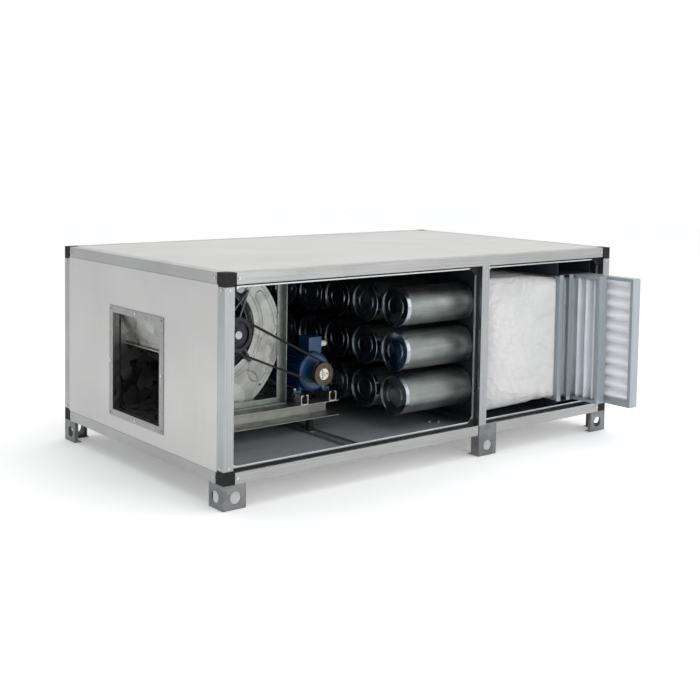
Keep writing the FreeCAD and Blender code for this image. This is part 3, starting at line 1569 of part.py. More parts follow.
def guides():
    """Guide rails across the cabinet, low and high: a plate on two webs, with a fin each side of a slot."""
    y0 = "cell_front"
    y1 = "casing_depth - cell_front - 4"
    web_front = "profile_size + panel_gap"
    web_rear = "casing_depth - profile_size - panel_gap"
    left = "bag_left - guide_gap - guide_sheet"
    last = "outer_left + deep_thick + guide_gap"
    fins = [last, "bag_left + bag_thick + guide_gap", "thin_left - guide_gap - guide_sheet"]
    fins += ["thin_left + thin_thick + guide_gap", "inner_left + deep_thick + guide_gap"]
    made = []
    for side in SIDES:
        face = "cell_bottom - 1" if side == 1 else "cell_top + 1"
        wall = inward("z", side, "panel_thick + fin_thick")
        plate = span(f"{face} - {side} * guide_sheet", face, side)
        fin_root = f"{face} - {side} * guide_sheet"
        fin = span(fin_root, f"{face} + {side} * guide_rise", side)
        bag_fin = span(fin_root, f"{face} + {side} * guide_bag_rise", side)
        web = span(wall, f"{face} - {side} * guide_sheet / 2", side)
        pieces = [
            block((left, y0, plate[0]), (f"{last} + guide_sheet", y1, plate[1])),
            block((left, y0, bag_fin[0]), (f"{left} + guide_sheet", y1, bag_fin[1])),
        ]
        for x in fins:
            pieces.append(block((x, y0, fin[0]), (f"{x} + guide_sheet", y1, fin[1])))
        for x in (left, last):
            pieces.append(block((x, web_front, web[0]), (f"{x} + guide_sheet", web_rear, web[1])))
        made.append(fuse(pieces))
    sub_part("filter_guides", group(made))


MAKERS = (
    rails,
    mullions,
    corner_blocks,
    feet,
    panels,
    floor_channels,
    door_frames,
    flanges_and_screws,
    fan_housing,
    inlet_rings,
    spiders,
    fan_frame,
    base_and_mounts,
    outlet_sleeve,
    fan_wheel,
    fan_shaft,
    fan_pulley,
    belt,
    motor_slide,
    motor_rotor,
    carbon_bank,
    filters,
    guides,
)

# ---------------------------------------------------------------- build and export


def build():
    for make in MAKERS:
        make()
    doc.recompute()
    failed = [obj.Label for obj in doc.Objects if {"Invalid", "Error"} & set(obj.State)]
    if failed:
        raise RuntimeError(f"these objects failed: {failed}")
    bad = [obj.Label for obj in sub_parts if obj.Shape.isNull() or not obj.Shape.isValid()]
    if bad:
        raise RuntimeError(f"these sub-parts have no valid shape: {bad}")
    os.makedirs("parts", exist_ok=True)
    for obj in sub_parts:
        obj.Shape.exportStep(os.path.join("parts", obj.Label + ".step"))
    print(len(sub_parts), "sub-parts written")


build()
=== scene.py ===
import math
import random

import bmesh
import bpy
from mathutils import Matrix, Vector, noise


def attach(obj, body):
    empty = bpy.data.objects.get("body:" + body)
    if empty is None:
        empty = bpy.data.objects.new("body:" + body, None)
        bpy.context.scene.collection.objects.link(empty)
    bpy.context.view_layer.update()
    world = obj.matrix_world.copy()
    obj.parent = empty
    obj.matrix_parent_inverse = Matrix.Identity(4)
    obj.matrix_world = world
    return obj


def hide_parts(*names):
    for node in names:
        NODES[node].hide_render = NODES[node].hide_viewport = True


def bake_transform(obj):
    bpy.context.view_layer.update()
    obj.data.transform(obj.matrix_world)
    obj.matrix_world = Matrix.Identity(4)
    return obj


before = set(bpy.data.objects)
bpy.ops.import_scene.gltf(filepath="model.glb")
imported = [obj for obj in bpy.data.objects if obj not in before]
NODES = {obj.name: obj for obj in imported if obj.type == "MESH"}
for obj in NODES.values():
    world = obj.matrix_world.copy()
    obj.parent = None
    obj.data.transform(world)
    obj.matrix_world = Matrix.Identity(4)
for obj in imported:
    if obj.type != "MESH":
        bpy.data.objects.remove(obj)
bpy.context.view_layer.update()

MM = 0.001
ORIGIN = (1000.0, 479.0)


def place(x, y, z):
    """A point of the cabinet's drawing (mm from its left end, front face and floor) in the row frame."""
    return Vector(((x - ORIGIN[0]) * MM, (y - ORIGIN[1]) * MM, z * MM))


def linear(value):
    """One screen value, 0 to 255, as the linear value a shader takes."""
    return value / 255 / 12.92 if value <= 10 else ((value / 255 + 0.055) / 1.055) ** 2.4


def rgb(red, green, blue):
    """A colour in screen values, 0 to 255, as a shader's linear colour."""
    return linear(red), linear(green), linear(blue), 1.0


# ---------------------------------------------------------------- materials


class Shader:
    """A procedural material in the object's own metres, built up in layers."""

    def __init__(self, name, colour, rough, metal=0.0, **constants):
        self.material = bpy.data.materials.new(name)
        self.material.use_nodes = True
        self.nodes = self.material.node_tree.nodes
        self.links = self.material.node_tree.links
        self.bsdf = self.nodes["Principled BSDF"]
        self.bsdf.inputs["Metallic"].default_value = metal
        self.bsdf.inputs["Roughness"].default_value = rough
        self.bsdf.inputs["Base Color"].default_value = colour
        for label, number in constants.items():
            self.bsdf.inputs[label.replace("_", " ")].default_value = number
        self.where = self.add("ShaderNodeTexCoord").outputs["Object"]
        self.colour = colour
        self.normal = None

    def add(self, kind, **props):
        node = self.nodes.new(kind)
        for label, number in props.items():
            setattr(node, label, number)
        return node

    def join(self, source, target):
        if hasattr(source, "is_linked"):
            self.links.new(source, target)
        else:
            target.default_value = source

    def at(self, stretch):
        scaled = self.add("ShaderNodeMapping")
        scaled.inputs["Scale"].default_value = stretch
        self.join(self.where, scaled.inputs["Vector"])
        return scaled.outputs["Vector"]

    def noise(self, scale, stretch=(1, 1, 1), detail=4.0):
        made = self.add("ShaderNodeTexNoise")
        made.inputs["Scale"].default_value = scale
        made.inputs["Detail"].default_value = detail
        self.join(self.at(stretch), made.inputs["Vector"])
        return made.outputs[0]

    def cells(self, scale, output="Color"):
        made = self.add("ShaderNodeTexVoronoi", feature="F1")
        made.inputs["Scale"].default_value = scale
        self.join(self.where, made.inputs["Vector"])
        return made.outputs[output]

    def crystals(self, scale):
        """Three random values from 0 to 1 for each cell."""
        made = self.add("ShaderNodeSeparateColor")
        self.join(self.cells(scale), made.inputs[0])
        return made.outputs

    def axes(self):
        """The x, y and z of a point of the surface, in metres."""
        made = self.add("ShaderNodeSeparateXYZ")
        self.join(self.where, made.inputs[0])
        return made.outputs

    def mapped(self, source, start, end, low=0.0, high=1.0):
        made = self.add("ShaderNodeMapRange", clamp=True)
        for label, number in zip(("From Min", "From Max", "To Min", "To Max"), (start, end, low, high)):
            made.inputs[label].default_value = number
        self.join(source, made.inputs["Value"])
        return made.outputs["Result"]

    def maths(self, operation, first, second=0.0):
        made = self.add("ShaderNodeMath", operation=operation)
        self.join(first, made.inputs[0])
        self.join(second, made.inputs[1])
        return made.outputs[0]

    def tint(self, amount, colour):
        """Mixes a colour over what is there, by an amount from 0 to 1 over the surface."""
        mix = self.add("ShaderNodeMix", data_type="RGBA")
        self.join(amount, mix.inputs["Factor"])
        self.join(self.colour, mix.inputs["A"])
        mix.inputs["B"].default_value = colour
        self.colour = mix.outputs["Result"]
        self.join(self.colour, self.bsdf.inputs["Base Color"])
        return self

    def gloss(self, source, start, end, low, high):
        self.join(self.mapped(source, start, end, low, high), self.bsdf.inputs["Roughness"])
        return self

    def bump(self, source, depth, strength=1.0):
        """Relief of this depth in metres."""
        made = self.add("ShaderNodeBump")
        made.inputs["Distance"].default_value = depth
        made.inputs["Strength"].default_value = strength
        self.join(source, made.inputs["Height"])
        if self.normal is not None:
            self.join(self.normal, made.inputs["Normal"])
        self.normal = made.outputs["Normal"]
        self.join(self.normal, self.bsdf.inputs["Normal"])
        return self

    def soft_edges(self, radius):
        """Rounds hard edges for the light by this radius in metres."""
        made = self.add("ShaderNodeBevel", samples=4)
        made.inputs["Radius"].default_value = radius
        self.normal = made.outputs["Normal"]
        self.join(self.normal, self.bsdf.inputs["Normal"])
        return self

    def wipe(self, scale, dark, amount=0.5):
        """Broad uneven darkening, as handling and dust leave."""
        return self.tint(self.mapped(self.noise(scale), 0.42, 0.75, 0.0, amount), dark)


def brushed(name, colour, dark, rough, along, metal=1.0):
    """Extruded or brushed metal with fine lines along one axis."""
    stretch = tuple(3 if axis == along else 420 for axis in "xyz")
    made = Shader(name, colour, rough, metal).soft_edges(0.0009)
    lines = made.noise(1.0, stretch, 3.0)
    made.tint(made.mapped(lines, 0.35, 0.65, 0.0, 0.45), dark)
    made.wipe(3.0, dark, 0.25)
    made.gloss(made.noise(9.0), 0.3, 0.7, rough - 0.07, rough + 0.09)
    return made.bump(lines, 0.00008, 0.5).material


def galvanised(name, colour, dark, rough, grain=55.0, metal=1.0, spangle=0.4):
    """Zinc-coated sheet: flat crystals, fine grain and faint handling marks."""
    made = Shader(name, colour, rough, metal).soft_edges(0.0007)
    crystals = made.crystals(grain)
    made.tint(made.mapped(crystals[0], 0.0, 1.0, 0.0, spangle), dark)
    made.wipe(5.0, dark, 0.35)
    made.gloss(crystals[1], 0.0, 1.0, rough - 0.08, rough + 0.12)
    made.bump(made.noise(7.0, detail=2.0), 0.0012, 0.35)
    return made.bump(made.noise(900.0, detail=2.0), 0.00005, 0.5).material


def panel_coat(name, colour, dark, rough):
    """Coated steel skin of a sandwich panel: fine leather-like grain, very slight waviness."""
    made = Shader(name, colour, rough, 0.45).soft_edges(0.0009)
    made.wipe(1.6, dark, 0.3)
    lines = made.noise(1.0, (500, 500, 5), 3.0)
    made.tint(made.mapped(lines, 0.35, 0.7, 0.0, 0.18), dark)
    made.tint(made.mapped(made.noise(700.0, detail=2.0), 0.4, 0.7, 0.0, 0.22), dark)
    made.gloss(made.noise(4.0), 0.3, 0.7, rough - 0.05, rough + 0.08)
    made.bump(made.noise(2.2, detail=1.0), 0.0022, 0.4)
    return made.bump(made.noise(1100.0, detail=2.0), 0.00006, 0.6).material


def moulded(name, colour, light, rough):
    """Moulded plastic or rubber with a spark-eroded grain and paler scuffs."""
    made = Shader(name, colour, rough).soft_edges(0.0012)
    made.tint(made.mapped(made.noise(14.0, detail=6.0), 0.55, 0.8, 0.0, 0.35), light)
    made.gloss(made.noise(40.0), 0.3, 0.7, rough - 0.08, rough + 0.1)
    return made.bump(made.noise(1400.0, detail=2.0), 0.00012, 0.6).material


def enamel(name, colour, dark, light, rough):
    """Thick machine paint over a casting: orange peel, rubbed high spots, dust."""
    made = Shader(name, colour, rough, 0.0, Coat_Weight=0.35, Coat_Roughness=0.2).soft_edges(0.0015)
    made.tint(made.mapped(made.noise(22.0, detail=6.0), 0.5, 0.75, 0.0, 0.5), dark)
    made.tint(made.mapped(made.noise(60.0, detail=8.0), 0.6, 0.75, 0.0, 0.3), light)
    made.gloss(made.noise(35.0), 0.3, 0.7, rough - 0.08, rough + 0.15)
    made.bump(made.noise(260.0, detail=3.0), 0.0004, 0.5)
    return made.bump(made.noise(45.0, detail=4.0), 0.0008, 0.35).material


def machined(name, colour, dark, rough):
    """Turned steel or iron: fine rings of tool marks and a film of oil or rust bloom."""
    made = Shader(name, colour, rough, 1.0).soft_edges(0.0008)
    made.tint(made.mapped(made.noise(30.0, detail=6.0), 0.45, 0.75, 0.0, 0.6), dark)
    made.gloss(made.noise(80.0), 0.3, 0.7, rough - 0.08, rough + 0.15)
    return made.bump(made.noise(1.0, (500, 60, 500), 2.0), 0.00008, 0.6).material


# The carbon cylinders lie along X in a grid of columns across Y and rows up Z, in the drawing's mm.
COLUMN_FIRST, COLUMN_PITCH = 166.0, 178.0
ROW_FIRST, ROW_PITCH = 254.0, 174.0
# Radius of a cylinder and distance between its holes, in metres.
CYLINDER_RADIUS = 0.076
HOLE_PITCH = 0.006
# Inside and outside of a hole's soft edge, as parts of the pitch.
HOLE_EDGE = (0.27, 0.33)


def perforated(name, colour, dark, rough):
    """Perforated steel wrapped round the carbon cylinders: staggered rows of small round holes."""
    made = Shader(name, colour, rough, 1.0)
    spot = made.axes()
    offsets = []
    for axis, first, pitch in ((1, COLUMN_FIRST - ORIGIN[1], COLUMN_PITCH), (2, ROW_FIRST, ROW_PITCH)):
        steps = made.maths("DIVIDE", made.maths("SUBTRACT", spot[axis], first * MM), pitch * MM)
        part = made.maths("SUBTRACT", steps, made.maths("ROUND", steps))
        offsets.append(made.maths("MULTIPLY", part, pitch * MM))
    angle = made.maths("ARCTAN2", offsets[1], offsets[0])
    turn = made.maths("MULTIPLY", angle, CYLINDER_RADIUS / HOLE_PITCH)
    along = made.maths("DIVIDE", spot[0], HOLE_PITCH)
    row = made.maths("MODULO", made.maths("FLOOR", along), 2.0)
    shifted = made.maths("ADD", turn, made.maths("MULTIPLY", row, 0.5))
    squares = []
    for source in (shifted, along):
        middle = made.maths("SUBTRACT", made.maths("FRACT", source), 0.5)
        squares.append(made.maths("MULTIPLY", middle, middle))
    reach = made.maths("SQRT", made.maths("ADD", *squares))
    holes = made.mapped(reach, *HOLE_EDGE, 1.0, 0.0)
    made.tint(made.mapped(made.noise(11.0), 0.35, 0.75, 0.0, 0.55), dark)
    # Painted reflection: long darker streaks running along each cylinder.
    made.tint(made.mapped(made.noise(1.0, (2, 34, 34), 3.0), 0.4, 0.62, 0.0, 0.5), dark)
    made.tint(made.maths("MULTIPLY", holes, 0.3), rgb(52, 54, 56))
    made.gloss(made.noise(9.0), 0.3, 0.7, rough - 0.05, rough + 0.1)
    made.bump(made.noise(6.0, (1, 6, 6), 2.0), 0.0015, 0.5)
    return made.bump(made.maths("SUBTRACT", 1.0, holes), 0.0003, 0.3).material


# Heights in metres between which the liner changes from the floor's skin to the walls'.
FLOOR_SKIN = (0.118, 0.128)
# From the fan's room to the filters' room, in metres along X, the floor grows darker, back towards the walls'
# painted shade.
FAN_SIDE = (0.1, 0.3)


def liner(name):
    """Inside skins: zinc sheet coloured dark on the walls and ceiling as painted shade, lighter bare zinc
    underfoot.
    """
    # The dark base colour is painted shade on the zinc walls and ceiling; the floor is tinted back to bare
    # zinc.
    made = Shader(name, rgb(62, 67, 75), 0.42, 0.35).soft_edges(0.0007)
    made.wipe(4.0, rgb(44, 49, 56), 0.6)
    spot = made.axes()
    floor_skin = made.mapped(spot[2], *FLOOR_SKIN, 0.85, 0.0)
    fan_side = made.mapped(spot[0], *FAN_SIDE, 1.0, 0.12)
    made.tint(made.maths("MULTIPLY", floor_skin, fan_side), rgb(184, 187, 190))
    made.tint(made.mapped(made.noise(3.0, (1, 5, 1), 5.0), 0.5, 0.75, 0.0, 0.35), rgb(86, 91, 97))
    made.gloss(made.crystals(38.0)[1], 0.0, 1.0, 0.36, 0.52)
    return made.bump(made.noise(7.0, detail=2.0), 0.0014, 0.35).material


def granules(name):
    """Black carbon pellets."""
    made = Shader(name, rgb(26, 26, 27), 0.75)
    made.tint(made.mapped(made.cells(320.0, "Distance"), 0.0, 0.5, 0.8, 0.0), rgb(52, 52, 54))
    return made.bump(made.cells(320.0, "Distance"), 0.002, 0.8).material


def foam(name):
    """Cut foam, open cells."""
    made = Shader(name, rgb(226, 205, 150), 0.9)
    made.tint(made.mapped(made.cells(420.0, "Distance"), 0.1, 0.6, 0.6, 0.0), rgb(168, 140, 88))
    return made.bump(made.cells(420.0, "Distance"), 0.001, 0.7).material


def winding(name):
    """Varnished copper winding and laminated iron."""
    made = Shader(name, rgb(140, 78, 42), 0.4, 0.6)
    made.tint(made.mapped(made.noise(1.0, (40, 900, 40), 2.0), 0.4, 0.6, 0.0, 0.7), rgb(58, 34, 24))
    return made.bump(made.noise(1.0, (60, 1300, 60), 2.0), 0.0003, 0.7).material


def fleece(name, colour, dark, glow, crumple=0.0):
    """Bonded synthetic fleece: tangled fibres, bond dots, grey dust, and creases of depth crumple."""
    made = Shader(name, colour, 0.85, 0.0, Sheen_Weight=0.3, Sheen_Roughness=0.5, Subsurface_Weight=glow)
    made.bsdf.inputs["Subsurface Scale"].default_value = 0.006
    made.bsdf.inputs["Subsurface Radius"].default_value = (1.0, 0.95, 0.9)
    made.tint(made.mapped(made.noise(5.0, detail=5.0), 0.45, 0.8, 0.0, 0.5), dark)
    made.tint(made.mapped(made.noise(1.0, (300, 300, 1100), 6.0), 0.5, 0.75, 0.0, 0.4), dark)
    if crumple:
        warp = made.noise(13.0, (0.7, 1.0, 1.2), 3.0)
        ridge = made.maths("ABSOLUTE", made.maths("SUBTRACT", warp, 0.5))
        made.bump(made.mapped(ridge, 0.0, 0.09, 1.0, 0.0), crumple, 0.7)
    dots = made.mapped(made.cells(260.0, "Distance"), 0.05, 0.3, 0.0, 1.0)
    made.bump(dots, 0.0002, 0.5)
    return made.bump(made.noise(600.0, detail=6.0), 0.00025, 0.7).material


# Distance between the wires over the inner cell, in metres.
WIRE_PITCH = 0.0026


def wire_mesh(name, colour, dark, rough):
    """Woven wire over filter fleece, with wires both ways."""
    made = Shader(name, colour, rough, 0.2, Sheen_Weight=0.2)
    spot = made.axes()
    waves = []
    for axis in (1, 2):
        phase = made.maths("MULTIPLY", spot[axis], 2 * math.pi / WIRE_PITCH)
        waves.append(made.maths("SINE", phase))
    weave = made.maths("MAXIMUM", *waves)
    made.tint(made.mapped(weave, 0.2, 0.9, 0.55, 0.0), dark)
    made.tint(made.mapped(made.noise(12.0, detail=4.0), 0.45, 0.75, 0.0, 0.35), dark)
    return made.bump(weave, 0.0005, 0.6).material


PAINTS = {
    "panel": panel_coat("panel_coat", rgb(200, 200, 198), rgb(168, 168, 167), 0.4),
    "liner": liner("liner_zinc"),
    "foam": foam("panel_foam"),
    "rail": brushed("profile_rails", rgb(176, 177, 176), rgb(134, 134, 134), 0.32, "x"),
    "post": brushed("profile_posts", rgb(170, 172, 173), rgb(130, 132, 134), 0.32, "z"),
    "plastic": moulded("black_plastic", rgb(5, 5, 6), rgb(16, 17, 18), 0.8),
    "rubber": moulded("black_rubber", rgb(13, 13, 14), rgb(36, 36, 37), 0.75),
    "foot": galvanised("foot_zinc", rgb(138, 139, 140), rgb(84, 86, 88), 0.4, 30.0),
    "flange": galvanised("flange_zinc", rgb(156, 157, 156), rgb(124, 126, 126), 0.34, 60.0, spangle=0.2),
    "strip": galvanised("strip_zinc", rgb(150, 153, 156), rgb(96, 100, 104), 0.42, 60.0, metal=0.5),
    "lip": brushed("door_lip_metal", rgb(214, 216, 218), rgb(160, 164, 168), 0.3, "x"),
    "bright": machined("bright_zinc", rgb(214, 215, 212), rgb(150, 150, 146), 0.28),
    "fan": galvanised("fan_zinc", rgb(166, 167, 164), rgb(110, 112, 111), 0.3, 26.0, spangle=0.4),
    "wheel": galvanised("wheel_zinc", rgb(150, 153, 155), rgb(96, 99, 102), 0.4, 40.0),
    "frame": galvanised("frame_zinc", rgb(158, 162, 158), rgb(106, 111, 108), 0.4, 60.0),
    "base": galvanised("base_zinc", rgb(172, 173, 168), rgb(122, 124, 119), 0.38, 30.0, spangle=0.25),
    "shaft": machined("shaft_steel", rgb(172, 173, 176), rgb(98, 98, 100), 0.25),
    "iron": machined("pulley_iron", rgb(58, 58, 62), rgb(30, 30, 32), 0.4),
    "brown": machined("pulley_brown", rgb(92, 82, 72), rgb(50, 43, 37), 0.42),
    "bush": machined("bush_steel", rgb(206, 205, 200), rgb(140, 138, 132), 0.3),
    "blue": enamel("motor_blue", rgb(6, 62, 104), rgb(4, 33, 62), rgb(44, 104, 144), 0.36),
    "gland": moulded("grey_plastic", rgb(226, 224, 214), rgb(236, 236, 236), 0.4),
    "winding": winding("stator_winding"),
    "cylinder": perforated("perforated_steel", rgb(158, 163, 161), rgb(104, 110, 110), 0.42),
    "cap": galvanised("cap_zinc", rgb(170, 178, 184), rgb(110, 119, 127), 0.2, 22.0, metal=1.0, spangle=0.25),
    "carbon": granules("carbon_pellets"),
    "cell": brushed("cell_zinc", rgb(170, 180, 185), rgb(126, 138, 146), 0.36, "z", 0.35),
    "bag": fleece("bag_fleece", rgb(207, 207, 206), rgb(178, 179, 182), 0.05, 0.004),
    "pleat": fleece("pleat_fleece", rgb(250, 252, 255), rgb(226, 233, 241), 0.26),
    "mesh": wire_mesh("pleat_mesh", rgb(244, 249, 253), rgb(166, 178, 188), 0.5),
}

# Which CAD nodes wear which paint.
WEARS = {
    "rail": ["frame_rails"],
    "post": ["corner_posts", "mullions"],
    "plastic": ["corner_blocks", "motor_cooling_fan"],
    "foot": ["feet"],
    "panel": ["top_panel", "floor_panels", "rear_panels", "outlet_end_panel", "inlet_end_panel"],
    "liner": ["panel_liners", "carbon_plate", "filter_guides"],
    "foam": ["panel_insulation"],
    "strip": ["floor_channels"],
    "rubber": ["door_gaskets", "rubber_mounts", "outlet_sleeve", "drive_belt"],
    "lip": ["door_lips"],
    "flange": ["outlet_flange", "inlet_flange"],
    "bright": ["case_screws", "motor_cross_rails", "motor_bolts"],
    "fan": ["fan_side_plates", "fan_scroll", "fan_inlet_rings"],
    "wheel": ["bearing_spiders", "fan_wheel_discs", "fan_wheel_blades"],
    "shaft": ["fan_bearings", "fan_shaft", "motor_rotor"],
    "frame": ["fan_frame"],
    "base": ["base_channels"],
    "iron": ["fan_pulley"],
    "blue": ["motor_housing", "motor_end_shields", "motor_fan_cowl", "motor_terminal_box"],
    "winding": ["motor_stator"],
    "gland": ["motor_cable_gland"],
    "brown": ["motor_pulley"],
    "bush": ["motor_pulley_bush"],
    "cylinder": ["carbon_shells"],
    "cap": ["carbon_end_caps", "carbon_base_rings"],
    "carbon": ["carbon_beds"],
    "cell": [
        "bag_header", "thin_cell_frame", "inner_cell_frame", "outer_cell_frame", "rear_filter_frames",
    ],
    "bag": ["bag_pockets", "rear_filter_media"],
    "pleat": ["thin_cell_media", "outer_cell_media"],
    "mesh": ["inner_cell_media"],
}

for paint, labels in WEARS.items():
    for label in labels:
        mesh = NODES[label].data
        mesh.materials.clear()
        mesh.materials.append(PAINTS[paint])


# ---------------------------------------------------------------- mesh building


def piece(name, points, faces, paint, body, slot):
    """A smooth mesh piece that rides on a body, where one is named."""
    mesh = bpy.data.meshes.new(name)
    mesh.from_pydata([tuple(point) for point in points], [], faces)
    made = bmesh.new()
    made.from_mesh(mesh)
    bmesh.ops.recalc_face_normals(made, faces=made.faces)
    made.to_mesh(mesh)
    made.free()
    mesh.materials.append(PAINTS[paint])
    for face in mesh.polygons:
        face.use_smooth = True
    thing = bpy.data.objects.new(name, mesh)
    bpy.context.collection.objects.link(thing)
    if body:
        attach(thing, body)
    return thing


def swept(path, section, closed):
    """Points and faces of a section carried along a path of (middle, across, up)."""
    points = []
    faces = []
    width = len(section)
    for centre, across, up in path:
        points += [centre + across * a + up * b for a, b in section]
    laps = len(path) if closed else len(path) - 1
    for i in range(laps):
        j = (i + 1) % len(path)
        for a in range(width):
            b = (a + 1) % width
            faces.append((i * width + a, i * width + b, j * width + b, j * width + a))
    if not closed:
        faces.append(tuple(range(width)))
        faces.append(tuple(range(len(points) - width, len(points))))
    return points, faces


# ---------------------------------------------------------------- drive belt

# Middle x, middle z and radius at the belt's back, for each pulley, and the belt's middle y, in mm.
FAN_PULLEY = (245.0, 535.0, 64.0)
MOTOR_PULLEY = (648.0, 347.0, 45.0)
BELT_Y = 292.0
FAN_ARC_STEPS, MOTOR_ARC_STEPS, RUN_STEPS = 48, 30, 28
# Across the belt and out from its back, in mm.
BELT_SECTION = (
    (-6.0, -0.1), (-6.2, -0.7), (-3.9, -7.7), (-3.5, -8.0),
    (3.5, -8.0), (3.9, -7.7), (6.2, -0.7), (6.0, -0.1),
)


def drive_belt():
    """A V-belt: wrapped rubber, its straight runs cut into many short steps."""
    (x0, z0, big), (x1, z1, small) = FAN_PULLEY, MOTOR_PULLEY
    distance = math.hypot(x1 - x0, z1 - z0)
    line = math.atan2(z1 - z0, x1 - x0)
    lean = math.acos((big - small) / distance)
    up, down = line + lean, line - lean
    spots = []

    def arc(x, z, radius, start, end, count):
        for i in range(count + 1):
            turn = start + (end - start) * i / count
            spots.append((x + radius * math.cos(turn), z + radius * math.sin(turn), turn))

    def run(turn, start, end):
        for i in range(1, RUN_STEPS):
            t = i / RUN_STEPS
            spots.append((start[0] + (end[0] - start[0]) * t, start[1] + (end[1] - start[1]) * t, turn))

    arc(x0, z0, big, up, down + 2 * math.pi, FAN_ARC_STEPS)
    foot = (spots[-1][0], spots[-1][1])
    run(down, foot, (x1 + small * math.cos(down), z1 + small * math.sin(down)))
    arc(x1, z1, small, down, up, MOTOR_ARC_STEPS)
    head = (spots[-1][0], spots[-1][1])
    run(up, head, (spots[0][0], spots[0][1]))
    path = []
    for x, z, turn in spots:
        out = Vector((math.cos(turn) * MM, 0, math.sin(turn) * MM))
        path.append((place(x, BELT_Y, z), Vector((0, MM, 0)), out))
    points, faces = swept(path, BELT_SECTION, True)
    belt = piece("belt_wrapped", points, faces, "rubber", None, "black_rubber")
    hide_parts("drive_belt")
    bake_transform(belt)


drive_belt()

# ---------------------------------------------------------------- bag filter pockets

# The cells' front face, width across Y, bottom and top; the front face of the rear set. All in mm.
CELL_FRONT, CELL_WIDTH, CELL_LOW, CELL_HIGH = 32.0, 558.0, 152.0, 690.0
REAR_FRONT = 592.0
HALF_TALL = (CELL_HIGH - CELL_LOW) / 2
# The header's back face, where the pockets begin, and the pockets' far edge.
BAG_LEFT, POCKET_END = 1715.0, 1292.0
POCKET_LONG = BAG_LEFT - POCKET_END
POCKETS = 6
MARGIN = 12.0

# Rings along a pocket and points on each face of a ring.
POCKET_ROWS, POCKET_SIDES = 60, 68
# Half thickness of a pocket at its header and at its far edge, and how much the air adds between them.
HEADER_HALF, FAR_HALF, BELLY = 39.0, 22.0, 7.0
# Where the faces begin to close onto the far seam, and over what share of the length they do.
CLOSING, CLOSING_SPAN = 0.86, 0.14
# How many folds each face has, and the spread of a fold's tilt, width, phase and strength.
FOLD_COUNT = 9
FOLD_SPREADS = ((-0.9, 0.9), (0.6, 1.5), (0, 6.3), (0.4, 1.0))
# Strength of the broad folds, and depth of the small ones that spread from the header.
FOLD_DEPTH, SPREAD_DEPTH = 1.25, 1.6
# Share of the length over which the folds grow out of the header.
HEADER_SHARE = 0.12
# Furthest that a point of a pocket may stand from its middle plane.
MOST_HALF = 43.5
# Furthest that the cloth may move from its drawn form.
CLOTH_CAP = 7.0
CLOTH_FRAMES = 20


def pocket_thickness(u):
    """Half thickness of a pocket at a share u of its length."""
    thick = HEADER_HALF * (1 - u) + FAR_HALF * u + BELLY * math.sin(math.pi * u**0.8)
    if u > CLOSING:
        thick *= max(0.03, math.cos((u - CLOSING) / CLOSING_SPAN * math.pi / 2)) ** 0.6
    return thick


def pocket_form(seed):
    """A sewn pocket: two fleece sheets joined along the top, bottom and far edge, opened by the air.

    Points in mm: x from the header towards the far edge, y across the pocket, z from its middle.
    """
    chance = random.Random(seed)
    rows, sides = POCKET_ROWS, POCKET_SIDES
    long = POCKET_LONG - 6.0
    tall = HALF_TALL - 7.5
    folds = [tuple(chance.uniform(low, high) for low, high in FOLD_SPREADS) for _ in range(FOLD_COUNT)]
    points = []
    for i in range(rows + 1):
        u = i / rows
        thick = pocket_thickness(u)
        height = tall + 8.0 * (1 - math.exp(-5 * u))
        square = 30.0 * math.exp(-5 * u) + 6.0
        grown = min(1.0, u / HEADER_SHARE)
        for k in range(2 * sides):
            face = 1 if k < sides else -1
            v = -1 + 2 * ((k % sides) + 0.5) / sides
            v *= face
            curve = (1 - abs(v) ** square) ** 0.7
            y = face * thick * curve
            ripple = 0.0
            for tilt, wide, phase, strength in folds:
                along = v * 3.1 + tilt * 3.0 * u
                fade = math.exp(-((u - 0.3 * abs(tilt)) ** 2) * 2.2)
                ripple += strength * math.sin(along * wide * 4.2 + phase + 2.0 * u) * fade
            y += face * ripple * FOLD_DEPTH * curve * grown
            if u < 0.5:
                y += face * (math.sin(20 * v + 9 * u + seed) * SPREAD_DEPTH * (0.5 - u) * curve * grown)
            z = v * height - 9.5 * u * max(0.0, -v) + 16.0 * (1 - math.exp(-6 * u)) * max(0.0, v)
            points.append(Vector((u * long, y, z)))
    faces = []
    ring = 2 * sides
    for i in range(rows):
        for k in range(ring):
            j = (k + 1) % ring
            faces.append((i * ring + k, i * ring + j, (i + 1) * ring + j, (i + 1) * ring + k))
    return points, faces, rows, ring


def inflated(name, points, faces, pinned):
    """The form after the fan's air has filled it: cloth under pressure, held at its pinned points."""
    mesh = bpy.data.meshes.new(name)
    mesh.from_pydata([tuple(point * MM) for point in points], [], faces)
    thing = bpy.data.objects.new(name, mesh)
    bpy.context.collection.objects.link(thing)
    group = thing.vertex_groups.new(name="held")
    group.add(list(pinned), 1.0, "REPLACE")
    cloth = thing.modifiers.new("cloth", "CLOTH")
    facts = cloth.settings
    facts.use_pressure = True
    facts.uniform_pressure_force = 4.0
    facts.effector_weights.gravity = 0.0
    facts.vertex_group_mass = "held"
    facts.quality = 6
    facts.mass = 0.2
    facts.tension_stiffness = 30.0
    facts.compression_stiffness = 8.0
    facts.bending_stiffness = 0.08
    facts.tension_damping = 10.0
    cloth.collision_settings.use_collision = False
    scene = bpy.context.scene
    scene.frame_start, scene.frame_end = 1, CLOTH_FRAMES
    cloth.point_cache.frame_start, cloth.point_cache.frame_end = 1, CLOTH_FRAMES
    for number in range(1, CLOTH_FRAMES + 1):
        scene.frame_set(number)
    shown = thing.evaluated_get(bpy.context.evaluated_depsgraph_get()).to_mesh()
    made = []
    for point, vertex in zip(points, shown.vertices):
        move = vertex.co / MM - point
        if move.length > CLOTH_CAP:
            move *= CLOTH_CAP / move.length
        made.append(point + move)
    scene.frame_set(1)
    bpy.data.objects.remove(thing)
    return made


def crease(along, across, layer):
    """1 on a crease, less away from it, in a field of wandering creases."""
    return 1 - 2 * abs(noise.noise(Vector((along, across, layer))))


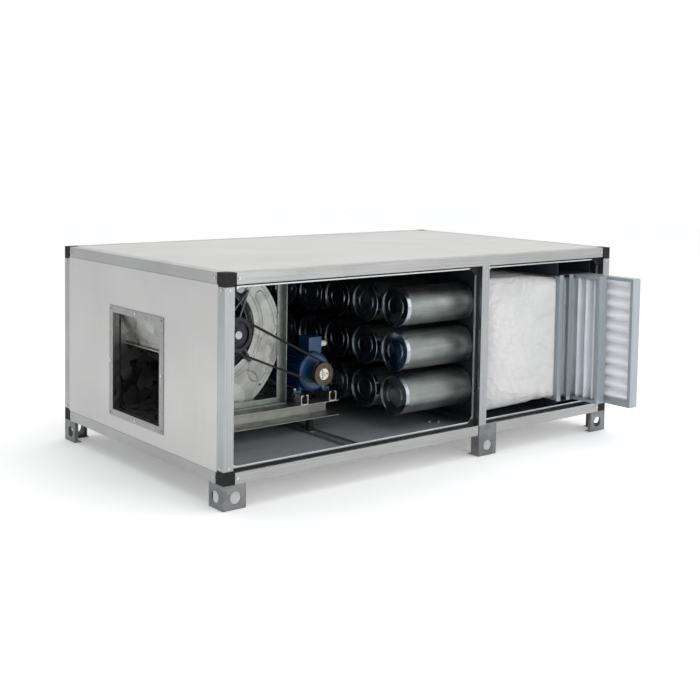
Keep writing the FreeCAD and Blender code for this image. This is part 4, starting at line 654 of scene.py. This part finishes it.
def sewn_pocket(seed):
    """A pocket's points after the air has filled it, creased, and kept inside its own share of the header."""
    points, faces, rows, ring = pocket_form(seed)
    filled = inflated("pocket_cloth", points, faces, range(2 * ring))
    for index, point in enumerate(filled):
        u = point.x / POCKET_LONG
        face = 1 if index % ring < ring // 2 else -1
        v = point.z / HALF_TALL
        edge = max(0.0, 1 - abs(v)) ** 0.25
        lean = point.z * (0.55 if v > 0 else -0.4)
        across = (point.x * 0.75 + lean) * 0.020 + seed
        along = (point.z - point.x * 0.4) * 0.0045 + 3.0 * seed
        coarse = crease(across, along, 0.3 * seed)
        fine = crease(across * 2.7, along * 2.4, 9.1)
        upright = crease(point.x * 0.011 + point.z * 0.003, point.z * 0.0022, 4.0 + seed)
        near = math.exp(-((u / 0.42) ** 2)) * (0.35 + 0.65 * abs(v) ** 1.3)
        edge *= min(1.0, u / 0.16) ** 1.5
        point.y += face * edge * (11.0 * near + 3.5) * (coarse - 0.8)
        point.y += face * edge * (5.0 * near + 2.5) * (fine - 0.7)
        point.y += face * edge * 5.0 * (upright - 0.8)
    tall = HALF_TALL - 3.0
    for point in filled:
        point.x = max(0.0, min(POCKET_LONG - 1.0, point.x))
        point.y = max(-MOST_HALF, min(MOST_HALF, point.y))
        point.z = max(-tall - 13.0, min(tall + 19.0, point.z))
    return filled, faces, rows, ring


SEWN = [sewn_pocket(seed) for seed in (3, 8)]


# Across the seam and out from it, in mm.
SEAM_SECTION = ((-1.6, -5.0), (1.6, -5.0), (1.2, 4.6), (0, 5.4), (-1.2, 4.6))


def seam(filled, rows, ring):
    """The overlocked edge along a pocket's far end: a thin welt standing proud of the fleece."""
    sides = ring // 2
    path = []
    for k in range(sides):
        first = filled[rows * ring + k]
        second = filled[rows * ring + ring - 1 - k]
        path.append(((first + second) / 2, Vector((0, 1, 0)), Vector((1, 0, 0))))
    return swept(path, SEAM_SECTION, False)


def bag(name, front, body, slot, stands_for):
    """All the pockets of one bag filter as one sewn fleece piece."""
    pitch = (CELL_WIDTH - 2 * MARGIN) / POCKETS
    middle = (CELL_HIGH + CELL_LOW) / 2
    points = []
    faces = []

    def put(new_points, new_faces, y, mirror):
        start = len(points)
        for point in new_points:
            points.append(place(BAG_LEFT - 0.4 - point.x, y + mirror * point.y, middle + point.z))
        for face in new_faces:
            faces.append(tuple(start + index for index in face))

    for number in range(POCKETS):
        filled, shell, rows, ring = SEWN[number % len(SEWN)]
        y = front + MARGIN + pitch * (number + 0.5)
        mirror = 1 if number % 2 == 0 else -1
        sides = ring // 2
        closed = list(shell)
        last = rows * ring
        for k in range(sides - 1):
            closed.append((last + k, last + k + 1, last + ring - 2 - k, last + ring - 1 - k))
        closed.append(tuple(range(ring)))
        put(filled, closed, y, mirror)
        put(*seam(filled, rows, ring), y, mirror)
    made = piece(name, points, faces, "bag", body, slot)
    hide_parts(*stands_for)


bag("bag_fleece", CELL_FRONT, "bag_filter", "bag_fabric", ["bag_pockets"])
bag("rear_bag_fleece", REAR_FRONT, "cabinet", "bag_fabric", ["rear_filter_media"])

# ---------------------------------------------------------------- pleated cells

# Each cell's left face, thickness, and how far the front one stands out at rest, in mm.
LEFT = {"thin": 1778.0, "inner": 1815.0, "outer": 1868.0}
THICK = {"thin": 25.0, "inner": 48.0, "outer": 48.0}
PULLED = {"thin": 0.0, "inner": 130.0, "outer": 257.0}
# Room between the media and the inside of the CAD block.
MEDIA_ROOM = 2.2
# Points on each fold and along it; how far a fold wanders sideways.
FOLD_STEPS, FOLD_ROWS, FOLD_SWAY = 14, 24, 1.4


def wave(phase, sharp):
    """A wave from -1 to 1: a sine at 0, closer to a zigzag as sharp nears 1."""
    return math.asin(sharp * math.sin(phase)) / math.asin(sharp)


def pleats(label, front, across, pitch, depth, sheet, sharp, seed):
    """A pleated sheet that fills a cell's frame, its folds along Y or upright, each a little uneven."""
    chance = random.Random(seed)
    left, thick = LEFT[label], THICK[label]
    y0, y1 = front + MEDIA_ROOM, front + CELL_WIDTH - MEDIA_ROOM
    z0, z1 = CELL_LOW + MEDIA_ROOM, CELL_HIGH - MEDIA_ROOM
    low, high = (z0, z1) if across == "z" else (y0, y1)
    start, end = (y0, y1) if across == "z" else (z0, z1)
    folds = max(3, round((high - low) / pitch))
    steps = folds * FOLD_STEPS
    rows = FOLD_ROWS
    uneven = [chance.uniform(-0.10, 0.10) for _ in range(folds + 2)]
    sway = [chance.uniform(0, 6.3) for _ in range(folds + 2)]
    grid = []
    for face in (-1, 1):
        for i in range(steps + 1):
            t = i / steps
            number = t * folds
            whole = int(number)
            part = number - whole
            amount = 1.0 + uneven[whole] * (1 - part) + uneven[whole + 1] * part
            swing = sway[whole] * (1 - part) + sway[whole + 1] * part
            slope = math.cos(2 * math.pi * number)
            for j in range(rows + 1):
                s = j / rows
                wander = FOLD_SWAY * math.sin(3.0 * math.pi * s + swing)
                wander *= math.sin(math.pi * s) * math.sin(math.pi * t)
                spread = low + (high - low) * t + wander
                x = left + thick / 2 + depth * amount * wave(2 * math.pi * number, sharp)
                x += face * sheet / 2
                spread -= face * sheet / 2 * slope * 0.8
                spread = min(high, max(low, spread))
                along = start + (end - start) * s
                grid.append(place(x, along, spread) if across == "z" else place(x, spread, along))
    faces = []
    size = (steps + 1) * (rows + 1)

    def index(face, i, j):
        return face * size + i * (rows + 1) + j

    for i in range(steps):
        for j in range(rows):
            for face in (0, 1):
                corners = ((i, j), (i + 1, j), (i + 1, j + 1), (i, j + 1))
                faces.append(tuple(index(face, a, b) for a, b in corners))
    rim = [(i, 0) for i in range(steps)] + [(steps, j) for j in range(rows)]
    rim += [(i, rows) for i in range(steps, 0, -1)] + [(0, j) for j in range(rows, 0, -1)]
    for (a, b), (c, d) in zip(rim, rim[1:] + rim[:1]):
        faces.append((index(0, a, b), index(0, c, d), index(1, c, d), index(1, a, b)))
    return grid, faces


FOLDS = {
    "thin": {"across": "y", "pitch": 17.0, "depth": 8.0, "sheet": 1.2, "sharp": 0.97},
    "inner": {"across": "y", "pitch": 43.0, "depth": 17.0, "sheet": 1.6, "sharp": 0.98},
    "outer": {"across": "z", "pitch": 46.8, "depth": 15.0, "sheet": 2.4, "sharp": 0.80},
}
FLEECE = {"thin": "pleat", "inner": "mesh", "outer": "pleat"}
FRONT_SEED, REAR_SEED = 11, 21

for number, (label, fold) in enumerate(FOLDS.items()):
    shape = pleats(label, CELL_FRONT - PULLED[label], seed=FRONT_SEED + number, **fold)
    made = piece(f"{label}_cell_pleats", *shape, FLEECE[label], f"{label}_cell", "pleat_fabric")
    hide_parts(f"{label}_cell_media")
    shape = pleats(label, REAR_FRONT, seed=REAR_SEED + number, **fold)
    rear = piece(f"rear_{label}_pleats", *shape, FLEECE[label], "cabinet", "pleat_fabric")
    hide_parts("rear_filter_media")

# ---------------------------------------------------------------- pressed relief on the fan's side plates

# The fan's middle and half its width over the side plates, in mm.
FAN_SPOT = (245.0, 590.0, 535.0)
PLATE_FACE = 185.0
# The scroll grows from one radius to the other as it turns back from the tongue, in degrees and mm.
TONGUE, SCROLL_TURN = 205.0, 295.0
SCROLL_START, SCROLL_END = 190.0, 331.0
# The bead round the inlet, the inner edge of the long ovals and their distance from the scroll's edge.
INLET_BEAD, OVAL_INNER, OVAL_INSET = 187.0, 199.0, 16.0
OVALS = ((-2, 32), (-44, -16), (-78, -58))
# The bead along the scroll: its distance from the edge and its angles.
EDGE_BEAD_INSET, EDGE_BEAD_ANGLES = 4.0, range(-82, 128, 3)
ARC_STEPS, END_STEPS = 16, 12


def scroll_radius(angle):
    """Radius of the side plate's edge at an angle in degrees."""
    grown = max(0.0, (TONGUE - angle) / SCROLL_TURN)
    return SCROLL_START + (SCROLL_END - SCROLL_START) * grown**1.5


def fan_point(radius, angle, side):
    """A point on a side plate's outer face: side -1 is the front one."""
    turn = math.radians(angle)
    x, y, z = FAN_SPOT
    return place(x + radius * math.cos(turn), y + side * PLATE_FACE, z + radius * math.sin(turn))


def plate_bead(spots, side, closed, wide=3.2, proud=1.5):
    """A pressed bead: a low rounded ridge along a line of (radius, angle)."""
    centres = [fan_point(radius, angle, side) for radius, angle in spots]
    path = []
    count = len(centres)
    for i, centre in enumerate(centres):
        before = centres[(i - 1) % count] if closed or i else centre
        after = centres[(i + 1) % count] if closed or i < count - 1 else centre
        along = (after - before).normalized()
        out = Vector((0, side * MM, 0))
        path.append((centre, along.cross(Vector((0, side, 0))) * MM, out))
    half = [(-wide, -0.4), (-wide * 0.7, proud * 0.55), (-wide * 0.25, proud)]
    section = half + [(-across, out) for across, out in reversed(half)]
    return swept(path, section, closed)


def oval(start, end):
    """A closed slot shape between two angles, with round ends, as (radius, angle)."""
    spots = []

    def inner(angle):
        return OVAL_INNER

    def outer(angle):
        return scroll_radius(angle) - OVAL_INSET

    def side(first, last, reach):
        for i in range(ARC_STEPS + 1):
            angle = first + (last - first) * i / ARC_STEPS
            spots.append((reach(angle), angle))

    def round_end(angle, way):
        middle = (inner(angle) + outer(angle)) / 2
        radius = (outer(angle) - inner(angle)) / 2
        for i in range(1, END_STEPS):
            t = math.pi * i / END_STEPS
            past = math.degrees(radius * math.sin(t) / middle)
            spots.append((middle + way * radius * math.cos(t), angle + way * past))

    side(start, end, outer)
    round_end(end, 1)
    side(end, start, inner)
    round_end(start, -1)
    return spots


def fan_relief():
    """The beads pressed into both side plates: round the inlet, three ovals and one along the edge."""
    points = []
    faces = []

    def put(new_points, new_faces):
        start = len(points)
        points.extend(new_points)
        faces.extend(tuple(start + index for index in face) for face in new_faces)

    for side in (-1, 1):
        put(*plate_bead([(INLET_BEAD, i * 5) for i in range(72)], side, True, 2.6, 1.2))
        for start, end in OVALS:
            put(*plate_bead(oval(start, end), side, True))
        edge = [(scroll_radius(angle) - EDGE_BEAD_INSET, angle) for angle in EDGE_BEAD_ANGLES]
        put(*plate_bead(edge, side, False, 2.4, 1.2))
    piece("fan_plate_beads", points, faces, "fan", "cabinet", "fan_zinc")


fan_relief()

# Angles of the rivets in degrees, their distance from the edge, and each dome's rings as (radius, height).
RIVET_ANGLES = (-84, -50, -8, 46, 74, 108)
RIVET_INSET = 10.5
RIVET_RINGS = ((4.2, -0.3), (4.2, 0.5), (3.4, 1.5), (1.8, 2.1))
RIVET_SIDES = 14


def rivets():
    """Small dark rivets round the scroll's edge on both plates."""
    points = []
    faces = []
    for side in (-1, 1):
        for angle in RIVET_ANGLES:
            centre = fan_point(scroll_radius(angle) - RIVET_INSET, angle, side)
            start = len(points)
            for reach, out in RIVET_RINGS:
                for i in range(RIVET_SIDES):
                    turn = 2 * math.pi * i / RIVET_SIDES
                    offset = Vector((reach * math.cos(turn), side * out, reach * math.sin(turn)))
                    points.append(centre + offset * MM)
            top = start + (len(RIVET_RINGS) - 1) * RIVET_SIDES
            for low in range(start, top, RIVET_SIDES):
                for i in range(RIVET_SIDES):
                    j = (i + 1) % RIVET_SIDES
                    faces.append((low + i, low + j, low + RIVET_SIDES + j, low + RIVET_SIDES + i))
            faces.append(tuple(range(top, top + RIVET_SIDES)))
            faces.append(tuple(range(start, start + RIVET_SIDES)))
    piece("fan_plate_rivets", points, faces, "iron", "cabinet", "pulley_iron")


rivets()

# ---------------------------------------------------------------- floor, light and camera

FLOOR_HALF = 14.0
# The floor lies a little under the feet.
FLOOR_Z = -0.001
# The camera as fitted to the picture: focal length in pixels of a square picture, shifts as shares of it.
PICTURE = 700
FOCAL = 1154.5
SENSOR = 36.0
SHIFT_X, SHIFT_Y = 0.0714, -0.1786
CAMERA_SPOT = (-3.0988, -3.6227, 1.2210)
CAMERA_AIM = (0.6064, 0.7922, -0.0683)
ROLL = 0.736
# Name, place, target, power in W, width and height in metres.
LIGHTS = (
    ("sky_light", (0.4, -0.6, 4.2), (0, 0, 0.4), 48, 5.0, 4.0),
    ("front_light", (2.6, -4.6, 2.2), (0.3, 0, 0.4), 36, 4.4, 3.2),
    ("left_light", (-4.6, -0.8, 1.8), (-0.6, 0, 0.4), 2, 2.6, 2.0),
    ("bay_light", (-0.08, -3.3, 1.15), (0.15, -0.2, 0.4), 9, 0.5, 0.9),
    ("low_light", (-2.3, 0.0, 0.12), (-1.0, -0.1, 0.1), 2.2, 1.8, 0.16),
)


def floor():
    """A pale floor that glows a little, so that it runs into the white background."""
    mesh = bpy.data.meshes.new("studio_floor")
    h = FLOOR_HALF
    corners = [(-h, -h, FLOOR_Z), (h, -h, FLOOR_Z), (h, h, FLOOR_Z), (-h, h, FLOOR_Z)]
    mesh.from_pydata(corners, [], [(0, 1, 2, 3)])
    pale = Shader("floor_paint", rgb(254, 254, 254), 0.9, Emission_Strength=0.14)
    pale.bsdf.inputs["Emission Color"].default_value = rgb(255, 255, 255)
    pale.tint(pale.mapped(pale.noise(0.4), 0.3, 0.7, 0.0, 0.15), rgb(250, 250, 251))
    mesh.materials.append(pale.material)
    thing = bpy.data.objects.new("studio_floor", mesh)
    bpy.context.collection.objects.link(thing)


def area_light(name, spot, target, power, width, height):
    """A rectangular light at a spot, turned towards its target."""
    lamp = bpy.data.lights.new(name, "AREA")
    lamp.shape = "RECTANGLE"
    lamp.size, lamp.size_y = width, height
    lamp.energy = power
    thing = bpy.data.objects.new(name, lamp)
    thing.location = spot
    thing.rotation_euler = (Vector(target) - Vector(spot)).to_track_quat("-Z", "Y").to_euler()
    bpy.context.collection.objects.link(thing)


def camera():
    """The camera that took the picture, as far as the cabinet's corners tell."""
    lens = bpy.data.cameras.new("camera")
    lens.sensor_width = SENSOR
    lens.lens = FOCAL / PICTURE * SENSOR
    lens.shift_x, lens.shift_y = SHIFT_X, SHIFT_Y
    lens.clip_end = 60.0
    thing = bpy.data.objects.new("camera", lens)
    turn = Vector(CAMERA_AIM).to_track_quat("-Z", "Y").to_matrix().to_4x4()
    roll = Matrix.Rotation(math.radians(ROLL), 4, "Z")
    thing.matrix_world = Matrix.Translation(CAMERA_SPOT) @ turn @ roll
    bpy.context.collection.objects.link(thing)
    bpy.context.scene.camera = thing


def backdrop():
    """A world that is white on one side and pale grey on the left, for the metal to mirror."""
    sky = bpy.data.worlds.new("studio")
    sky.use_nodes = True
    nodes, links = sky.node_tree.nodes, sky.node_tree.links
    facing = nodes.new("ShaderNodeTexCoord")
    split = nodes.new("ShaderNodeSeparateXYZ")
    shade = nodes.new("ShaderNodeMapRange")
    tone = nodes.new("ShaderNodeMix")
    tone.data_type = "RGBA"
    links.new(facing.outputs["Generated"], split.inputs[0])
    links.new(split.outputs[0], shade.inputs["Value"])
    shade.inputs["From Min"].default_value = -0.95
    shade.inputs["From Max"].default_value = -0.05
    links.new(shade.outputs["Result"], tone.inputs["Factor"])
    tone.inputs["A"].default_value = rgb(150, 153, 157)
    tone.inputs["B"].default_value = rgb(255, 255, 255)
    links.new(tone.outputs["Result"], nodes["Background"].inputs["Color"])
    nodes["Background"].inputs["Strength"].default_value = 1.0
    bpy.context.scene.world = sky


floor()
for light in LIGHTS:
    area_light(*light)
camera()
backdrop()
bpy.context.scene.view_settings.view_transform = "Standard"
